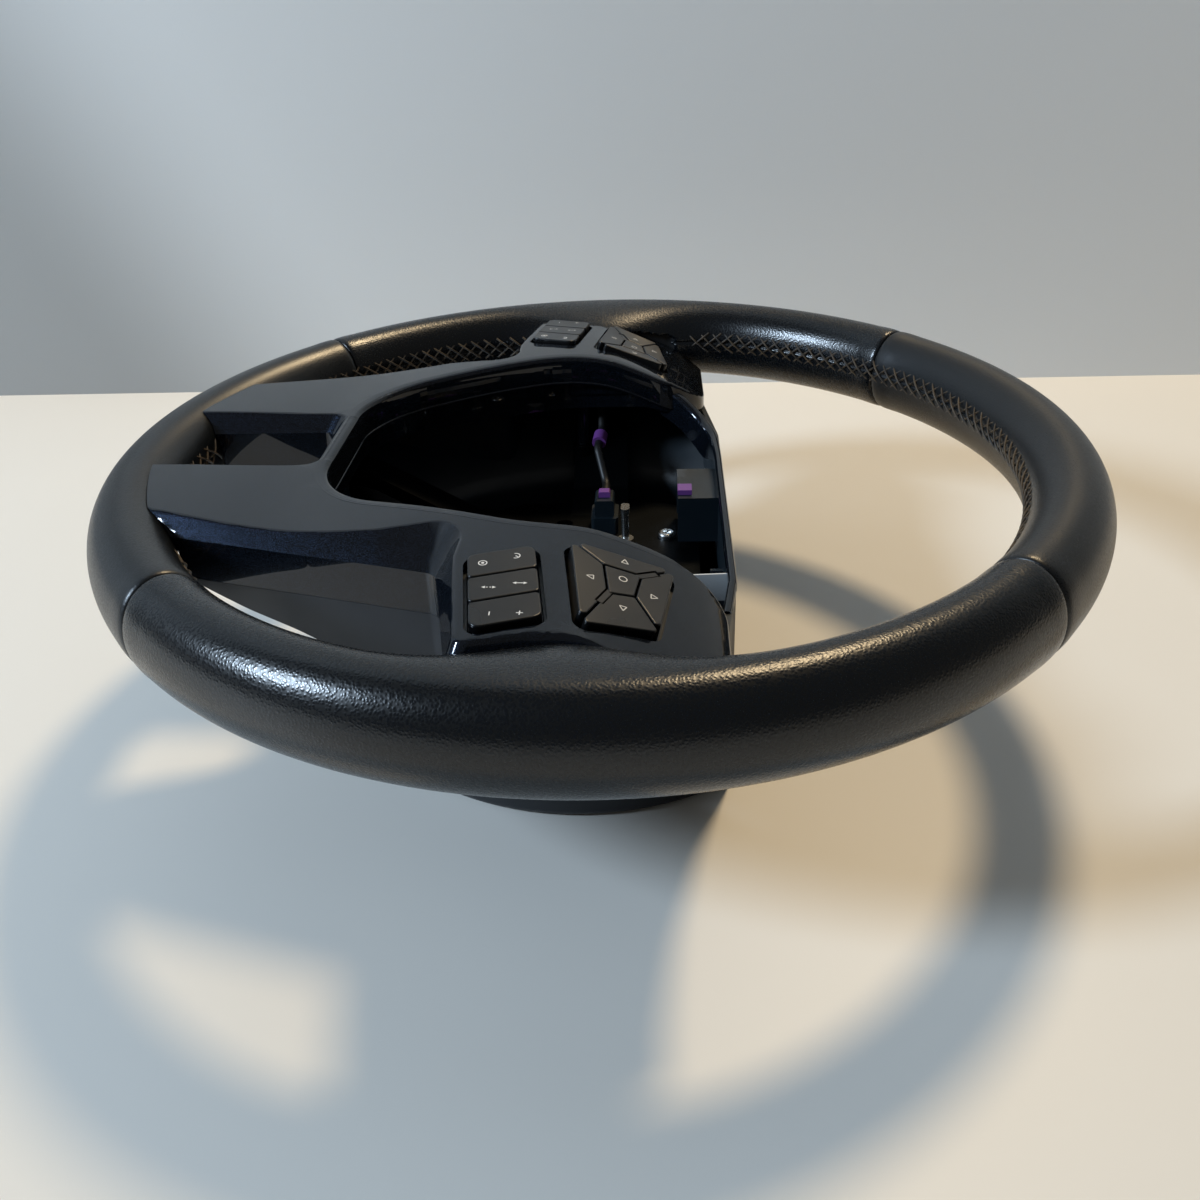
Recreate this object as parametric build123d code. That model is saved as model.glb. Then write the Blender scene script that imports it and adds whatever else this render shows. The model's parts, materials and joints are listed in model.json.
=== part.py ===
"""Multifunction steering wheel with the airbag module taken out, lying on its rear cover.

Millimetres. +X is the driver's right, +Y is 12 o'clock and +Z points along the column to the
driver. The origin is on the hub axis, in the plane that the rear cover rests on.
"""

from build123d import *
from math import atan2, cos, degrees, exp, radians, sin
import os

# Rim and leather
RIM_DIAMETER = 450.0
GRIP_WIDTH = 35.0
GRIP_HEIGHT = 43.2
RIM_HEIGHT = 115.0
LEATHER = 1.4
GLUE_LINE = 0.15
SEAM_GAP = 0.8
TOP_SEAM_ANGLE = 50.0
BOTTOM_SEAM_ANGLE = -48.0
FLARE_DEPTH = 24.0
FLARE_REACH = 42.0
FLARE_Y = -4.0
FLARE_STEPS = 16
LEATHER_CLEARANCE = 0.4

# Front trim: height of its face along the wheel's middle, from 6 o'clock to 12 o'clock
TRIM_WALL = 2.5
FACE_CROWN = 2250.0
FACE_HEIGHTS = (
    (-215.0, 19.5), (-160.0, 18.8), (-119.0, 18.4), (-88.0, 21.2), (-58.0, 23.8), (-30.0, 24.5),
    (-10.0, 23.6), (3.0, 21.4), (14.0, 17.4), (26.0, 12.0), (36.0, 6.8), (45.0, 1.2), (54.0, -6.0),
    (66.0, -16.0),
)
PARTING_DROP = 8.0
ARM_TOE = 8.0
ARM_TOE_START = 22.0
ARM_FLOOR_Y = 37.0
LEDGE = 1.0
LEDGE_END = 24.0
CHAMFER_FOOT = 10.0
CREST_HEIGHT = 24.0
LIP_ROUND = 1.8
CREST_ROUND = 2.5

# Spokes in plan
ARM_END = 54.0
ARM_CORNER = 24.0
ARM_RIM_CORNER_Y = 36.0
ARM_INSET = 15.5
SPOKE_GAP = 52.0
GAP_END = -128.0
LOWER_SPOKE_HALF = 89.0
LOWER_SPOKE_Y = -158.0
LOWER_SPOKE_FLARE = 0.3
SCOOP_X = 119.4
SIDE_SPOKE_SLOPE = 0.22
RIM_CORNER_Y = -43.0
BAY_BOTTOM = -120.0
BAY_BOTTOM_HALF = 62.0
BAY_BOTTOM_ROUND = 50.0
BAY_SIDE_HALF = 101.5
BAY_SIDE_Y = -24.0
BAY_SIDE_ROUND = 80.0

# Rear cover
COVER_WALL = 2.5
COVER_JOINT = 0.2
BASE_RADIUS = 113.0
BASE_CENTRE_Y = -9.0
BASE_ROUND = 5.0
COVER_SHOULDER = 58.0
COVER_TOP = 60.0
COVER_TOP_HALF = 80.0
COLUMN_HOLE = 40.0
RIB_THICKNESS = 2.0
RIB_DEPTH = 6.0
RIB_TOP = 77.0
RIB_PLACES = (-80.0, -66.0, 30.0, 48.0)
LATCH_X = -39.0
LATCH_WIDTH = 36.0
LATCH_DEPTH = 20.0
LATCH_HEIGHT = 24.0
LATCH_WALL = 3.0
POST_RADIUS = 6.0

# Cast armature
BORE = 20.0
BOSS_DIAMETER = 48.0
BOSS_FOOT = 18.0
PLATE_TOP = 62.0
PLATE_THICKNESS = 8.0
PLATE_WIDTH = 150.0
PLATE_LENGTH = 112.0
PLATE_CENTRE_Y = -8.0
PLATE_CORNER = 24.0
CORE_RADIUS = 7.0
CORE_CLEARANCE = 0.15
SPOKE_BAR_THICKNESS = 8.0
BAR_BEND = 12.0
BAR_CLEARANCE = 1.0
BAR_BOSS_RADIUS = 6.5
BAR_BOSS_HEIGHT = 12.0
SIDE_POST_X = 110.5
SIDE_POST_Y = -14.0
LOWER_POST_REACH = 140.5
TRIM_POST_RADIUS = 3.6
SIDE_BAR_WIDTH = 30.0
LOWER_BAR_WIDTH = 20.0
LOWER_BAR_X = 53.0
AIRBAG_HOLE = 9.0
AIRBAG_SPACING = 100.0
AIRBAG_Y = -22.0

# Switch pads
KEY_PROUD = 2.2
KEY_DEPTH = 7.0
KEY_GAP = 0.7
KEY_CLEARANCE = 0.45
KEY_EDGE = 0.6
PAD_SURROUND = 1.4
ROCKER_X = 148.2
ROCKER_Y = -26.6
ROCKER_LENGTH = 26.0
ROCKER_PITCH = 15.6
ROCKER_LEAN = 18.0
ROCKER_TURN = 8.0
ROCKER_CORNER = 4.0
NAV_X = 136.0
NAV_Y = 14.0
NAV_HUB_EDGE = 42.0
NAV_RIM_EDGE = 29.0
NAV_HUB_DEPTH = 18.5
NAV_RIM_DEPTH = 28.5
NAV_SKEW = 3.8
NAV_CORNER = 4.0
NAV_OK_SHARE = 0.35
NAV_OK_X = -2.5
NAV_EAR_LENGTH = 7.5
NAV_EAR_WIDTH = 2.2
ROCKER_SPLIT_ROUND = 2.0
HOUSING_WALL = 1.6
HOUSING_DROP = 4.8
MAT = 1.0
MAT_CLEARANCE = 0.2
DOME = 0.6
DOME_RADIUS = 3.0
DOME_PLAY = 0.3
ROCKER_DOME_SHARE = 0.75
NAV_DOME_SHARE = 0.66
KEY_TRAVEL = 1.2
BOARD = 1.6

# Wiring and small parts in the bay
LEAD_RADIUS = 2.2
LEAD_BEND = 9.0
SCREW_HEAD_RADIUS = 4.5
SCREW_HEAD = 2.8
SCREW_SOCKET = 2.2
SCREW_SHANK_RADIUS = 2.0
SCREW_LENGTH = 14.0
SCREW_TIP = 3.0
SCREW_PLAY = 0.1
SCREW_ROOM = 0.4
LEAD_START = -10.0
LEAD_DROP = 12.0
LEAD_AT_WALL = (104.0, -3.0, 93.5)
LEAD_IN_BAY = (86.0, -5.0, 89.5)
LEAD_FOOT_X = 70.0
PLUG_X = 46.0
PLUG_Y = 0.0
PLUG_LENGTH = 14.0
PLUG_WIDTH = 10.0
PLUG_HEIGHT = 9.0
SOCKET_HEIGHT = 9.0
LOCK = (5.0, 6.0, 3.0)
CLIP_WALL = 1.6
CLIP_LENGTH = 8.0
TAB = (8.0, 7.0, 2.5)
RIBBON = 0.8
RIBBON_LOW = 83.5
RIBBON_HIGH = 96.5
RIBBON_PLACES = ((69.0, 57.0), (70.0, 40.0), (82.0, 24.0), (97.0, 16.0))
RIBBON_BEND = 8.0
PIN_X = 29.0
PIN_Y = 11.0
PIN_RADIUS = 2.0
PIN_HEIGHT = 15.5
PIN_HEAD_SHIFT = 2.0

# Sizes that follow
RIM_RADIUS = (RIM_DIAMETER - GRIP_WIDTH) / 2
RIM_INNER = RIM_RADIUS - GRIP_WIDTH / 2
PARTING = RIM_HEIGHT - PARTING_DROP
FAR = 2 * RIM_DIAMETER
PLATE_UNDER = PLATE_TOP - PLATE_THICKNESS
COVER_INSIDE = COVER_TOP - COVER_WALL
LATCH_TOP = PARTING - 17.5


def outline(corners, height=0.0):
    """Face inside a closed run of (x, y, radius) corners."""
    points = [(x, y) for x, y, _ in corners]
    radii = [radius for *_, radius in corners]
    return Pos(0, 0, height) * make_face(FilletPolyline(*points, radius=radii, close=True))


def both_sides(half):
    """Close a right half, given from 12 to 6 o'clock, with its mirror image."""
    return half + [(-x, y, radius) for x, y, radius in reversed(half)]


def inset(corners, distance):
    """Move each side of a closed run of corners inwards, or outwards if negative."""
    count = len(corners)
    area = sum(
        corners[i][0] * corners[(i + 1) % count][1] - corners[(i + 1) % count][0] * corners[i][1]
        for i in range(count)
    )
    turn_in = 1 if area > 0 else -1
    moved = []
    for i, (x, y, radius) in enumerate(corners):
        before = corners[i - 1]
        after = corners[(i + 1) % count]
        first = Vector(x - before[0], y - before[1]).normalized()
        second = Vector(after[0] - x, after[1] - y).normalized()
        bend = first.X * second.Y - first.Y * second.X
        normal = Vector(-first.Y - second.Y, first.X + second.X) * turn_in
        shift = normal * (2 * distance / normal.length**2)
        grown = radius - distance if bend * turn_in > 0 else radius + distance
        moved.append((x + shift.X, y + shift.Y, max(grown, 0.3) if radius else 0.0))
    return moved


def ring_sector(face, start, end):
    """Turn a face in the XZ plane about the wheel's axis, from one angle to another."""
    return Rot(0, 0, start) * revolve(face, Axis.Z, revolution_arc=end - start)


# Front face


FACE_LINE = Spline(*[(0, y, RIM_HEIGHT + z) for y, z in FACE_HEIGHTS])


def face_height(x, y):
    """Height of the trim's face above the base at a point in plan."""
    low, high = 0.0, 1.0
    for _ in range(40):
        middle = (low + high) / 2
        low, high = (middle, high) if (FACE_LINE @ middle).Y < y else (low, middle)
    return (FACE_LINE @ low).Z - x**2 / (2 * FACE_CROWN)


def under_face(drop=0.0):
    """Everything below the trim's crowned face, lowered by a drop."""
    start, end = FACE_LINE @ 0, FACE_LINE @ 1
    low_start = (0, start.Y, -RIM_HEIGHT)
    low_end = (0, end.Y, -RIM_HEIGHT)
    sides = Polyline(tuple(end), low_end, low_start, tuple(start))
    profile = make_face(FACE_LINE.edges() + sides.edges())
    spread = 2 * degrees(RIM_RADIUS / FACE_CROWN)
    axis = Axis((0, 0, RIM_HEIGHT - FACE_CROWN), (0, 1, 0))
    swept = revolve(profile, axis, revolution_arc=spread)
    return Pos(0, 0, -drop) * swept.rotate(axis, -spread / 2)


def lower_spoke_x(y):
    """Outer side of the lower spoke in plan."""
    return LOWER_SPOKE_HALF + LOWER_SPOKE_FLARE * (y - LOWER_SPOKE_Y)


SCOOP_Y = LOWER_SPOKE_Y + (SCOOP_X - LOWER_SPOKE_HALF) / LOWER_SPOKE_FLARE


def side_spoke_y(x):
    """Lower side of the side spoke in plan."""
    return SCOOP_Y + SIDE_SPOKE_SLOPE * (x - SCOOP_X)


def spoke_end(x):
    """How far down a lower spoke goes, to end inside the grip."""
    return -(((RIM_RADIUS - 5) ** 2 - x**2) ** 0.5)


def spoke_feet(end=ARM_END):
    """Right half of the spokes' outline at the foot of the chamfer, its arm cut off at an end."""
    scoop_low = SCOOP_Y - 25
    scoop_out = SCOOP_X + 12
    outer_end = lower_spoke_x(spoke_end(LOWER_SPOKE_HALF))
    return [
        (RIM_INNER - 16, end, 8),
        (RIM_INNER - 8, ARM_RIM_CORNER_Y, 8),
        (RIM_INNER - ARM_INSET, FLARE_Y, 60),
        (RIM_INNER - 5.5, RIM_CORNER_Y, 5),
        (scoop_out, side_spoke_y(scoop_out), 0),
        (SCOOP_X, SCOOP_Y, 8),
        (lower_spoke_x(scoop_low), scoop_low, 0),
        (outer_end, spoke_end(outer_end), 0),
        (SPOKE_GAP / 2, spoke_end(SPOKE_GAP / 2), 0),
        (SPOKE_GAP / 2, GAP_END, 8),
    ]


def spoke_crests(end):
    """Right half of the same outline at the crest, with the scoop beside the switches."""
    scoop_low = SCOOP_Y - 25
    scoop_out = SCOOP_X + 12
    outer_end = lower_spoke_x(spoke_end(LOWER_SPOKE_HALF))
    return [
        (RIM_INNER - 23, end, 8),
        (RIM_INNER - 15, ARM_RIM_CORNER_Y - 3, 8),
        (RIM_INNER - ARM_INSET - 8, FLARE_Y, 60),
        (RIM_INNER - 15, RIM_CORNER_Y + 6, 5),
        (scoop_out - 11, side_spoke_y(scoop_out) + 9, 0),
        (SCOOP_X - 33, SCOOP_Y + 16, 18),
        (lower_spoke_x(scoop_low) - 20, scoop_low - 2, 0),
        (outer_end - 13, spoke_end(outer_end), 0),
        (SPOKE_GAP / 2 + 10, spoke_end(SPOKE_GAP / 2), 0),
        (SPOKE_GAP / 2 + 10, GAP_END + 10, 8),
    ]


def under_parting(drop=0.0):
    """Everything below the parting of trim and cover, which dips at the arms' ends, lowered by a drop."""
    low = PARTING - ARM_TOE - drop
    corners = [
        (-FAR, PARTING - drop, 0),
        (ARM_TOE_START, PARTING - drop, 40),
        (ARM_END - 4, low, 20),
        (FAR, low, 0),
        (FAR, -FAR, 0),
        (-FAR, -FAR, 0),
    ]
    return extrude(Plane.YZ * outline(corners), FAR, both=True)


def trim_block(wall=0.0):
    """Spokes and hub face as one solid, chamfered round its outside; the bay cuts off its arms."""
    beyond = ARM_END + 8
    feet = inset(both_sides(spoke_feet(beyond)), wall)
    crests = inset(both_sides(spoke_crests(beyond)), wall)
    sections = [
        outline(feet, PARTING - 2 * ARM_TOE),
        outline(feet, RIM_HEIGHT + CHAMFER_FOOT - wall),
        outline(crests, RIM_HEIGHT + CREST_HEIGHT + 2 - wall),
    ]
    return (loft(sections, ruled=True) & under_face(wall)) - under_parting(wall)


def bay(wall=0.0):
    """Prism through the airbag bay and round the arms' ends, open at 12 o'clock."""
    half = [
        (FAR / 2, FAR / 4, 0),
        (FAR / 2, ARM_END, 0),
        (BAY_SIDE_HALF, ARM_END, ARM_CORNER),
        (BAY_SIDE_HALF, BAY_SIDE_Y, BAY_SIDE_ROUND),
        (BAY_BOTTOM_HALF, BAY_BOTTOM, BAY_BOTTOM_ROUND),
    ]
    return extrude(outline(inset(both_sides(half), -wall)), FAR / 2)


def side_spoke_room(clearance):
    """Room that the trim and cover take out of the grip at the side spokes."""
    room = extrude(outline(inset(both_sides(spoke_feet()), -clearance)), FAR)
    half = RIM_INNER / 2
    sides = [Pos(side * (half + RIM_INNER / 2), 0, 0) * Box(RIM_INNER, 150, FAR) for side in (-1, 1)]
    return room & (sides[0] + sides[1])


# Grip


def flare(angle):
    """How far the grip reaches inwards for a side spoke, at an angle from it."""
    along = radians(angle) * RIM_RADIUS - FLARE_Y
    return FLARE_DEPTH * exp(-((along / FLARE_REACH) ** 2))


def grip_section(angle, depth, reach=0.0):
    """Grip section a depth under the leather, on the radial plane at an angle."""
    radial = (cos(radians(angle)), sin(radians(angle)), 0)
    plane = Plane(
        origin=(RIM_RADIUS * radial[0], RIM_RADIUS * radial[1], RIM_HEIGHT),
        x_dir=radial,
        z_dir=(radial[1], -radial[0], 0),
    )
    half_width = GRIP_WIDTH / 2 - depth
    half_height = GRIP_HEIGHT / 2 - depth
    outer = EllipticalCenterArc((0, 0), half_width, half_height, start_angle=-90, arc_size=180)
    inner = EllipticalCenterArc((0, 0), half_width + reach, half_height, start_angle=90, arc_size=180)
    return plane * make_face(outer.edges() + inner.edges())


def grip_side(depth, gap):
    """Right-hand grip with its spoke root, between the two seams."""
    half_gap = degrees(gap / 2 / RIM_RADIUS)
    start = BOTTOM_SEAM_ANGLE + half_gap
    end = TOP_SEAM_ANGLE - half_gap
    angles = [start + (end - start) * step / FLARE_STEPS for step in range(FLARE_STEPS + 1)]
    return loft([grip_section(angle, depth, flare(angle)) for angle in angles])


def grip_plain(depth, gap, start, end):
    """Plain grip between two seams."""
    half_gap = degrees(gap / 2 / RIM_RADIUS)
    return ring_sector(grip_section(0, depth), start + half_gap, end - half_gap)


def grip_parts(depth, gap):
    """Right, left, top and bottom lengths of the grip at a depth."""
    right = grip_side(depth, gap)
    left = mirror(right, about=Plane.YZ)
    top = grip_plain(depth, gap, TOP_SEAM_ANGLE, 180 - TOP_SEAM_ANGLE)
    bottom = grip_plain(depth, gap, 180 - BOTTOM_SEAM_ANGLE, 360 + BOTTOM_SEAM_ANGLE)
    return right, left, top, bottom


# Armature


def bar(points, thickness, width):
    """Flat cast bar along points (distance, height), centred across its width."""
    bends = [0] + [BAR_BEND] * (len(points) - 2) + [0]
    upper = [(distance, height + thickness / 2, bend) for (distance, height), bend in zip(points, bends)]
    lower = [(distance, height - thickness / 2, bend) for (distance, height), bend in zip(points, bends)]
    return extrude(outline(lower + upper[::-1]), width / 2, both=True)


def side_bar_points():
    """Middle line of a side bar: distance from the axis, and height."""
    plate_middle = PLATE_TOP - PLATE_THICKNESS / 2
    return [
        (PLATE_WIDTH / 2 - 15, plate_middle),
        (PLATE_WIDTH / 2 + 10, plate_middle + 4),
        (PLATE_WIDTH / 2 + 55, PARTING - 19),
        (RIM_INNER - 25, PARTING - 2.5),
        (RIM_INNER - 7, RIM_HEIGHT - 0.5),
        (RIM_RADIUS, RIM_HEIGHT),
    ]


def lower_bar_points():
    """Middle line of a lower bar: distance below the axis, and height."""
    plate_middle = PLATE_TOP - PLATE_THICKNESS / 2
    plate_end = PLATE_LENGTH / 2 - PLATE_CENTRE_Y
    rim_y = (RIM_RADIUS**2 - LOWER_BAR_X**2) ** 0.5
    return [
        (plate_end - 20, plate_middle),
        (plate_end + 6, plate_middle + 4),
        (plate_end + 54, PARTING - 17),
        (rim_y - 36, PARTING - 1.5),
        (rim_y - 18, RIM_HEIGHT - 0.5),
        (rim_y, RIM_HEIGHT),
    ]


def height_on(points, distance):
    """Height of a bar's middle line at a distance."""
    for (start, low), (end, high) in zip(points, points[1:]):
        if start <= distance <= end:
            return low + (high - low) * (distance - start) / (end - start)
    return points[-1][1]


def side_bar(clearance=0.0):
    """Right-hand armature bar from the hub plate to the rim core."""
    solid = bar(side_bar_points(), SPOKE_BAR_THICKNESS + 2 * clearance, SIDE_BAR_WIDTH + 2 * clearance)
    return Plane(origin=(0, FLARE_Y, 0), x_dir=(1, 0, 0), z_dir=(0, -1, 0)) * solid


def lower_bar(clearance=0.0):
    """Right-hand lower armature bar from the hub plate to the rim core."""
    thickness = SPOKE_BAR_THICKNESS + 2 * clearance
    solid = bar(lower_bar_points(), thickness, LOWER_BAR_WIDTH + 2 * clearance)
    frame = Plane(origin=(LOWER_BAR_X, 0, 0), x_dir=(0, -1, 0), z_dir=(-1, 0, 0))
    return frame * solid


def spoke_bars(clearance=0.0):
    """All four armature bars."""
    right = side_bar(clearance) + lower_bar(clearance)
    return right + mirror(right, about=Plane.YZ)


def core_ring(clearance=0.0):
    """Rim core of the armature."""
    return Pos(0, 0, RIM_HEIGHT) * Torus(RIM_RADIUS, CORE_RADIUS + clearance)


def armature():
    """Die casting: hub boss with its bore, hub plate, four bars and the rim core."""
    plate = extrude(RectangleRounded(PLATE_WIDTH, PLATE_LENGTH, PLATE_CORNER), PLATE_THICKNESS)
    boss = extrude(Circle(BOSS_DIAMETER / 2), PLATE_TOP - BOSS_FOOT)
    casting = Pos(0, PLATE_CENTRE_Y, PLATE_UNDER) * plate + Pos(0, 0, BOSS_FOOT) * boss
    casting += spoke_bars() + core_ring()
    casting -= extrude(Circle(BORE / 2), FAR)
    screw_hole = extrude(Circle(SCREW_SHANK_RADIUS + SCREW_ROOM), RIM_HEIGHT)
    screw_seat = extrude(Circle(SCREW_HEAD_RADIUS + SCREW_ROOM), -2 * SCREW_HEAD)
    for x, y, middle in trim_post_places():
        lug = Pos(x, y, middle) * extrude(Circle(BAR_BOSS_RADIUS), BAR_BOSS_HEIGHT / 2, both=True)
        hole = Pos(x, y, 0) * screw_hole
        seat = Pos(x, y, middle - BAR_BOSS_HEIGHT / 2) * screw_seat
        casting += lug + mirror(lug, about=Plane.YZ)
        for cut in (hole, seat):
            casting -= cut + mirror(cut, about=Plane.YZ)
    for x, y in airbag_places():
        casting -= Pos(x, y, 0) * extrude(Circle(AIRBAG_HOLE / 2), FAR)
    for x, y in cover_post_places():
        casting -= Pos(x, y, 0) * screw_hole
    return casting


def trim_post_places():
    """Right-hand bosses on the bars, for the trim's posts: x, y and height of the bar there."""
    side = height_on(side_bar_points(), SIDE_POST_X)
    lower = height_on(lower_bar_points(), LOWER_POST_REACH)
    return [(SIDE_POST_X, SIDE_POST_Y, side), (LOWER_BAR_X, -LOWER_POST_REACH, lower)]


def airbag_places():
    """Holes for the airbag module's fixings."""
    return [(side * AIRBAG_SPACING / 2, AIRBAG_Y) for side in (-1, 1)]


def cover_post_places():
    """Screwed posts that hold the rear cover under the hub plate."""
    x = LOWER_BAR_X - LOWER_BAR_WIDTH / 2 - 2 * SCREW_HEAD_RADIUS
    y = PLATE_LENGTH / 2 - 16
    return [(sx * x, PLATE_CENTRE_Y + sy * y) for sx in (-1, 1) for sy in (-1, 1)]


# Rear cover


def cover_half():
    """Right half of the rear cover's outline, which follows the spokes."""
    return [(COVER_TOP_HALF, COVER_TOP, 60), (BAY_SIDE_HALF + ARM_CORNER, ARM_END, 40)] + spoke_feet()


def bowl(wall=0.0):
    """Round base, shoulder and spoke undersides, turned about the base's centre."""
    points = [
        (0, wall),
        (BASE_RADIUS - wall, wall),
        (BASE_RADIUS + 6 - wall, COVER_SHOULDER + wall),
        (BASE_RADIUS + 34, PARTING - 19 + wall),
        (BASE_RADIUS + 50, PARTING - 11 + wall),
        (BASE_RADIUS + 72, PARTING + 2 + wall),
        (BASE_RADIUS + 110, PARTING + 4 + wall),
        (BASE_RADIUS + 110, RIM_HEIGHT + 30),
        (0, RIM_HEIGHT + 30),
    ]
    radii = [0, BASE_ROUND, 18, 40, 40, 20, 0, 0, 0]
    profile = make_face(FilletPolyline(*points, radius=radii, close=True))
    return Pos(0, BASE_CENTRE_Y, 0) * revolve(Plane.XZ * profile, Axis.Z)


def cover_block(wall=0.0):
    """Outside of the rear cover, or its inside a wall further in."""
    return extrude(outline(inset(both_sides(cover_half()), wall)), RIM_HEIGHT) & bowl(wall)


def rear_cover():
    """Bucket-shaped moulding with four spoke casings, posts, ribs and the airbag latch block."""
    shell = (cover_block() & under_parting(COVER_JOINT)) - cover_block(COVER_WALL)
    shell -= extrude(Circle(COLUMN_HOLE), FAR / 8)
    shell += latch_block()
    post = extrude(Circle(POST_RADIUS), PLATE_UNDER - COVER_JOINT - COVER_WALL / 2)
    screw_hole = extrude(Circle(SCREW_SHANK_RADIUS), SCREW_LENGTH)
    for x, y in cover_post_places():
        shell += Pos(x, y, COVER_WALL / 2) * post
        shell -= Pos(x, y, PLATE_UNDER - SCREW_LENGTH) * screw_hole
    for x in RIB_PLACES:
        rib = Box(RIB_THICKNESS, RIB_DEPTH + 1, RIB_TOP - COVER_WALL / 2)
        shell += Pos(x, COVER_INSIDE - RIB_DEPTH / 2 + 0.5, (RIB_TOP + COVER_WALL / 2) / 2) * rib
    shell -= spoke_bars(BAR_CLEARANCE)
    return shell - grip_plain(-LEATHER_CLEARANCE, 0, 0, 360)


def latch_block():
    """Block on the 12 o'clock wall with a pocket for the airbag module's hook."""
    block = Box(LATCH_WIDTH, LATCH_DEPTH + 1, LATCH_HEIGHT)
    pocket = Box(LATCH_WIDTH - 2 * LATCH_WALL, LATCH_DEPTH, LATCH_HEIGHT - 2 * LATCH_WALL)
    solid = Pos(0, 0.5, 0) * block - Pos(0, -LATCH_WALL, -LATCH_WALL) * pocket
    return Pos(LATCH_X, COVER_INSIDE - LATCH_DEPTH / 2, LATCH_TOP - LATCH_HEIGHT / 2) * solid


# Switch pads, right-hand side; the left is its mirror image


def pad_plane(x, y, reach):
    """Plane on the trim's face at a pad, tilted along the face between its two ends."""
    slope_y = (face_height(x, y + reach) - face_height(x, y - reach)) / (2 * reach)
    slope_x = -x / FACE_CROWN
    origin = (x, y, face_height(x, y))
    return Plane(origin=origin, x_dir=(1, 0, slope_x), z_dir=(-slope_x, -slope_y, 1))


ROCKER_PLANE = pad_plane(ROCKER_X, ROCKER_Y, ROCKER_LENGTH / 2)
NAV_PLANE = pad_plane(NAV_X, NAV_Y, NAV_HUB_EDGE / 2)


def rocker_quad(first, last):
    """Corners of the rockers from one row to another, in the pad's plane."""
    along = Vector(cos(radians(ROCKER_TURN)), sin(radians(ROCKER_TURN)))
    across = Vector(-sin(radians(ROCKER_LEAN)), cos(radians(ROCKER_LEAN)))
    low = along * (first - 1.5) * ROCKER_PITCH
    high = along * (last - 0.5) * ROCKER_PITCH
    half = across * ROCKER_LENGTH / 2
    return [(p.X, p.Y) for p in (low - half, high - half, high + half, low + half)]


def nav_quad():
    """Corners of the five-key pad, in the pad's plane."""
    hub, rim = NAV_HUB_EDGE / 2, NAV_RIM_EDGE / 2
    return [
        (-NAV_HUB_DEPTH, -hub),
        (NAV_RIM_DEPTH + NAV_SKEW, -rim),
        (NAV_RIM_DEPTH - NAV_SKEW, rim),
        (-NAV_HUB_DEPTH, hub),
    ]


def prism(plane, corners, low, high):
    """Straight solid on a pad's plane, between two heights over it."""
    return plane * Pos(0, 0, low) * extrude(outline(corners), high - low)


def key_cap(plane, corners):
    """One key: a moulded cap with a soft edge round its face."""
    cap = Pos(0, 0, -KEY_DEPTH) * extrude(outline(corners), KEY_DEPTH + KEY_PROUD)
    crown = cap.faces().sort_by(Axis.Z)[-1]
    return plane * fillet(crown.edges(), KEY_EDGE)


def rocker_keys():
    """Three rockers, from the hub outwards."""
    keys = []
    for row in range(3):
        outer = [ROCKER_CORNER if row == end else ROCKER_SPLIT_ROUND for end in (0, 2)]
        radii = [outer[0], outer[1], outer[1], outer[0]]
        quad = [(x, y, r) for (x, y), r in zip(rocker_quad(row, row), radii)]
        keys.append(key_cap(ROCKER_PLANE, inset(quad, KEY_GAP / 2)))
    return keys


def ears(outer, middle, width, top):
    """Bars from two corners of the middle key, along the gaps between the others."""
    bars = []
    for i in (1, 3):
        start, end = Vector(*middle[i]), Vector(*outer[i])
        along = (end - start).normalized()
        reach = NAV_EAR_LENGTH + (width - NAV_EAR_WIDTH) / 2
        centre = start + along * (reach / 2 - 1)
        turn = Rot(0, 0, degrees(atan2(along.Y, along.X)))
        bar_face = Pos(centre.X, centre.Y, -KEY_DEPTH) * turn * Rectangle(reach + 2, width)
        bars.append(NAV_PLANE * extrude(bar_face, KEY_DEPTH + top))
    return bars[0] + bars[1]


def nav_keys():
    """Four direction keys and the middle key of the five-key pad."""
    outer = nav_quad()
    middle = [(NAV_OK_X + (x - NAV_OK_X) * NAV_OK_SHARE, y * NAV_OK_SHARE) for x, y in outer]
    keys = []
    for i in range(4):
        j = (i + 1) % 4
        quad = [outer[i], outer[j], middle[j], middle[i]]
        radii = [2.0, 2.0, 0.8, 0.8]
        rounded = [(x, y, r) for (x, y), r in zip(quad, radii)]
        room = ears(outer, middle, NAV_EAR_WIDTH + 2 * KEY_GAP, 2 * KEY_PROUD)
        keys.append(key_cap(NAV_PLANE, inset(rounded, KEY_GAP / 2)) - room)
    centre = [(x, y, 0.8) for x, y in middle]
    middle_key = key_cap(NAV_PLANE, inset(centre, KEY_GAP / 2))
    keys.append(middle_key + ears(outer, middle, NAV_EAR_WIDTH, KEY_PROUD - KEY_EDGE / 2))
    return keys


def pad_outline(quad, corner, grow):
    """Pad outline with rounded corners, grown outwards."""
    return inset([(x, y, corner) for x, y in quad], -grow)


PADS = {
    "rocker": (ROCKER_PLANE, rocker_quad(0, 2), ROCKER_CORNER),
    "nav": (NAV_PLANE, nav_quad(), NAV_CORNER),
}
MAT_TOP = -KEY_DEPTH - KEY_TRAVEL - DOME_PLAY - DOME
HOUSING_FLOOR = MAT_TOP - MAT - BOARD - HOUSING_WALL


def switch_housing(plane, quad, corner):
    """Tray under a pad: a collar that guides the keys, and a floor."""
    inner = pad_outline(quad, corner, KEY_CLEARANCE)
    outer = pad_outline(quad, corner, KEY_CLEARANCE + HOUSING_WALL)
    tray = prism(plane, outer, HOUSING_FLOOR, -HOUSING_DROP)
    return tray - prism(plane, inner, HOUSING_FLOOR + HOUSING_WALL, 0)


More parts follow.
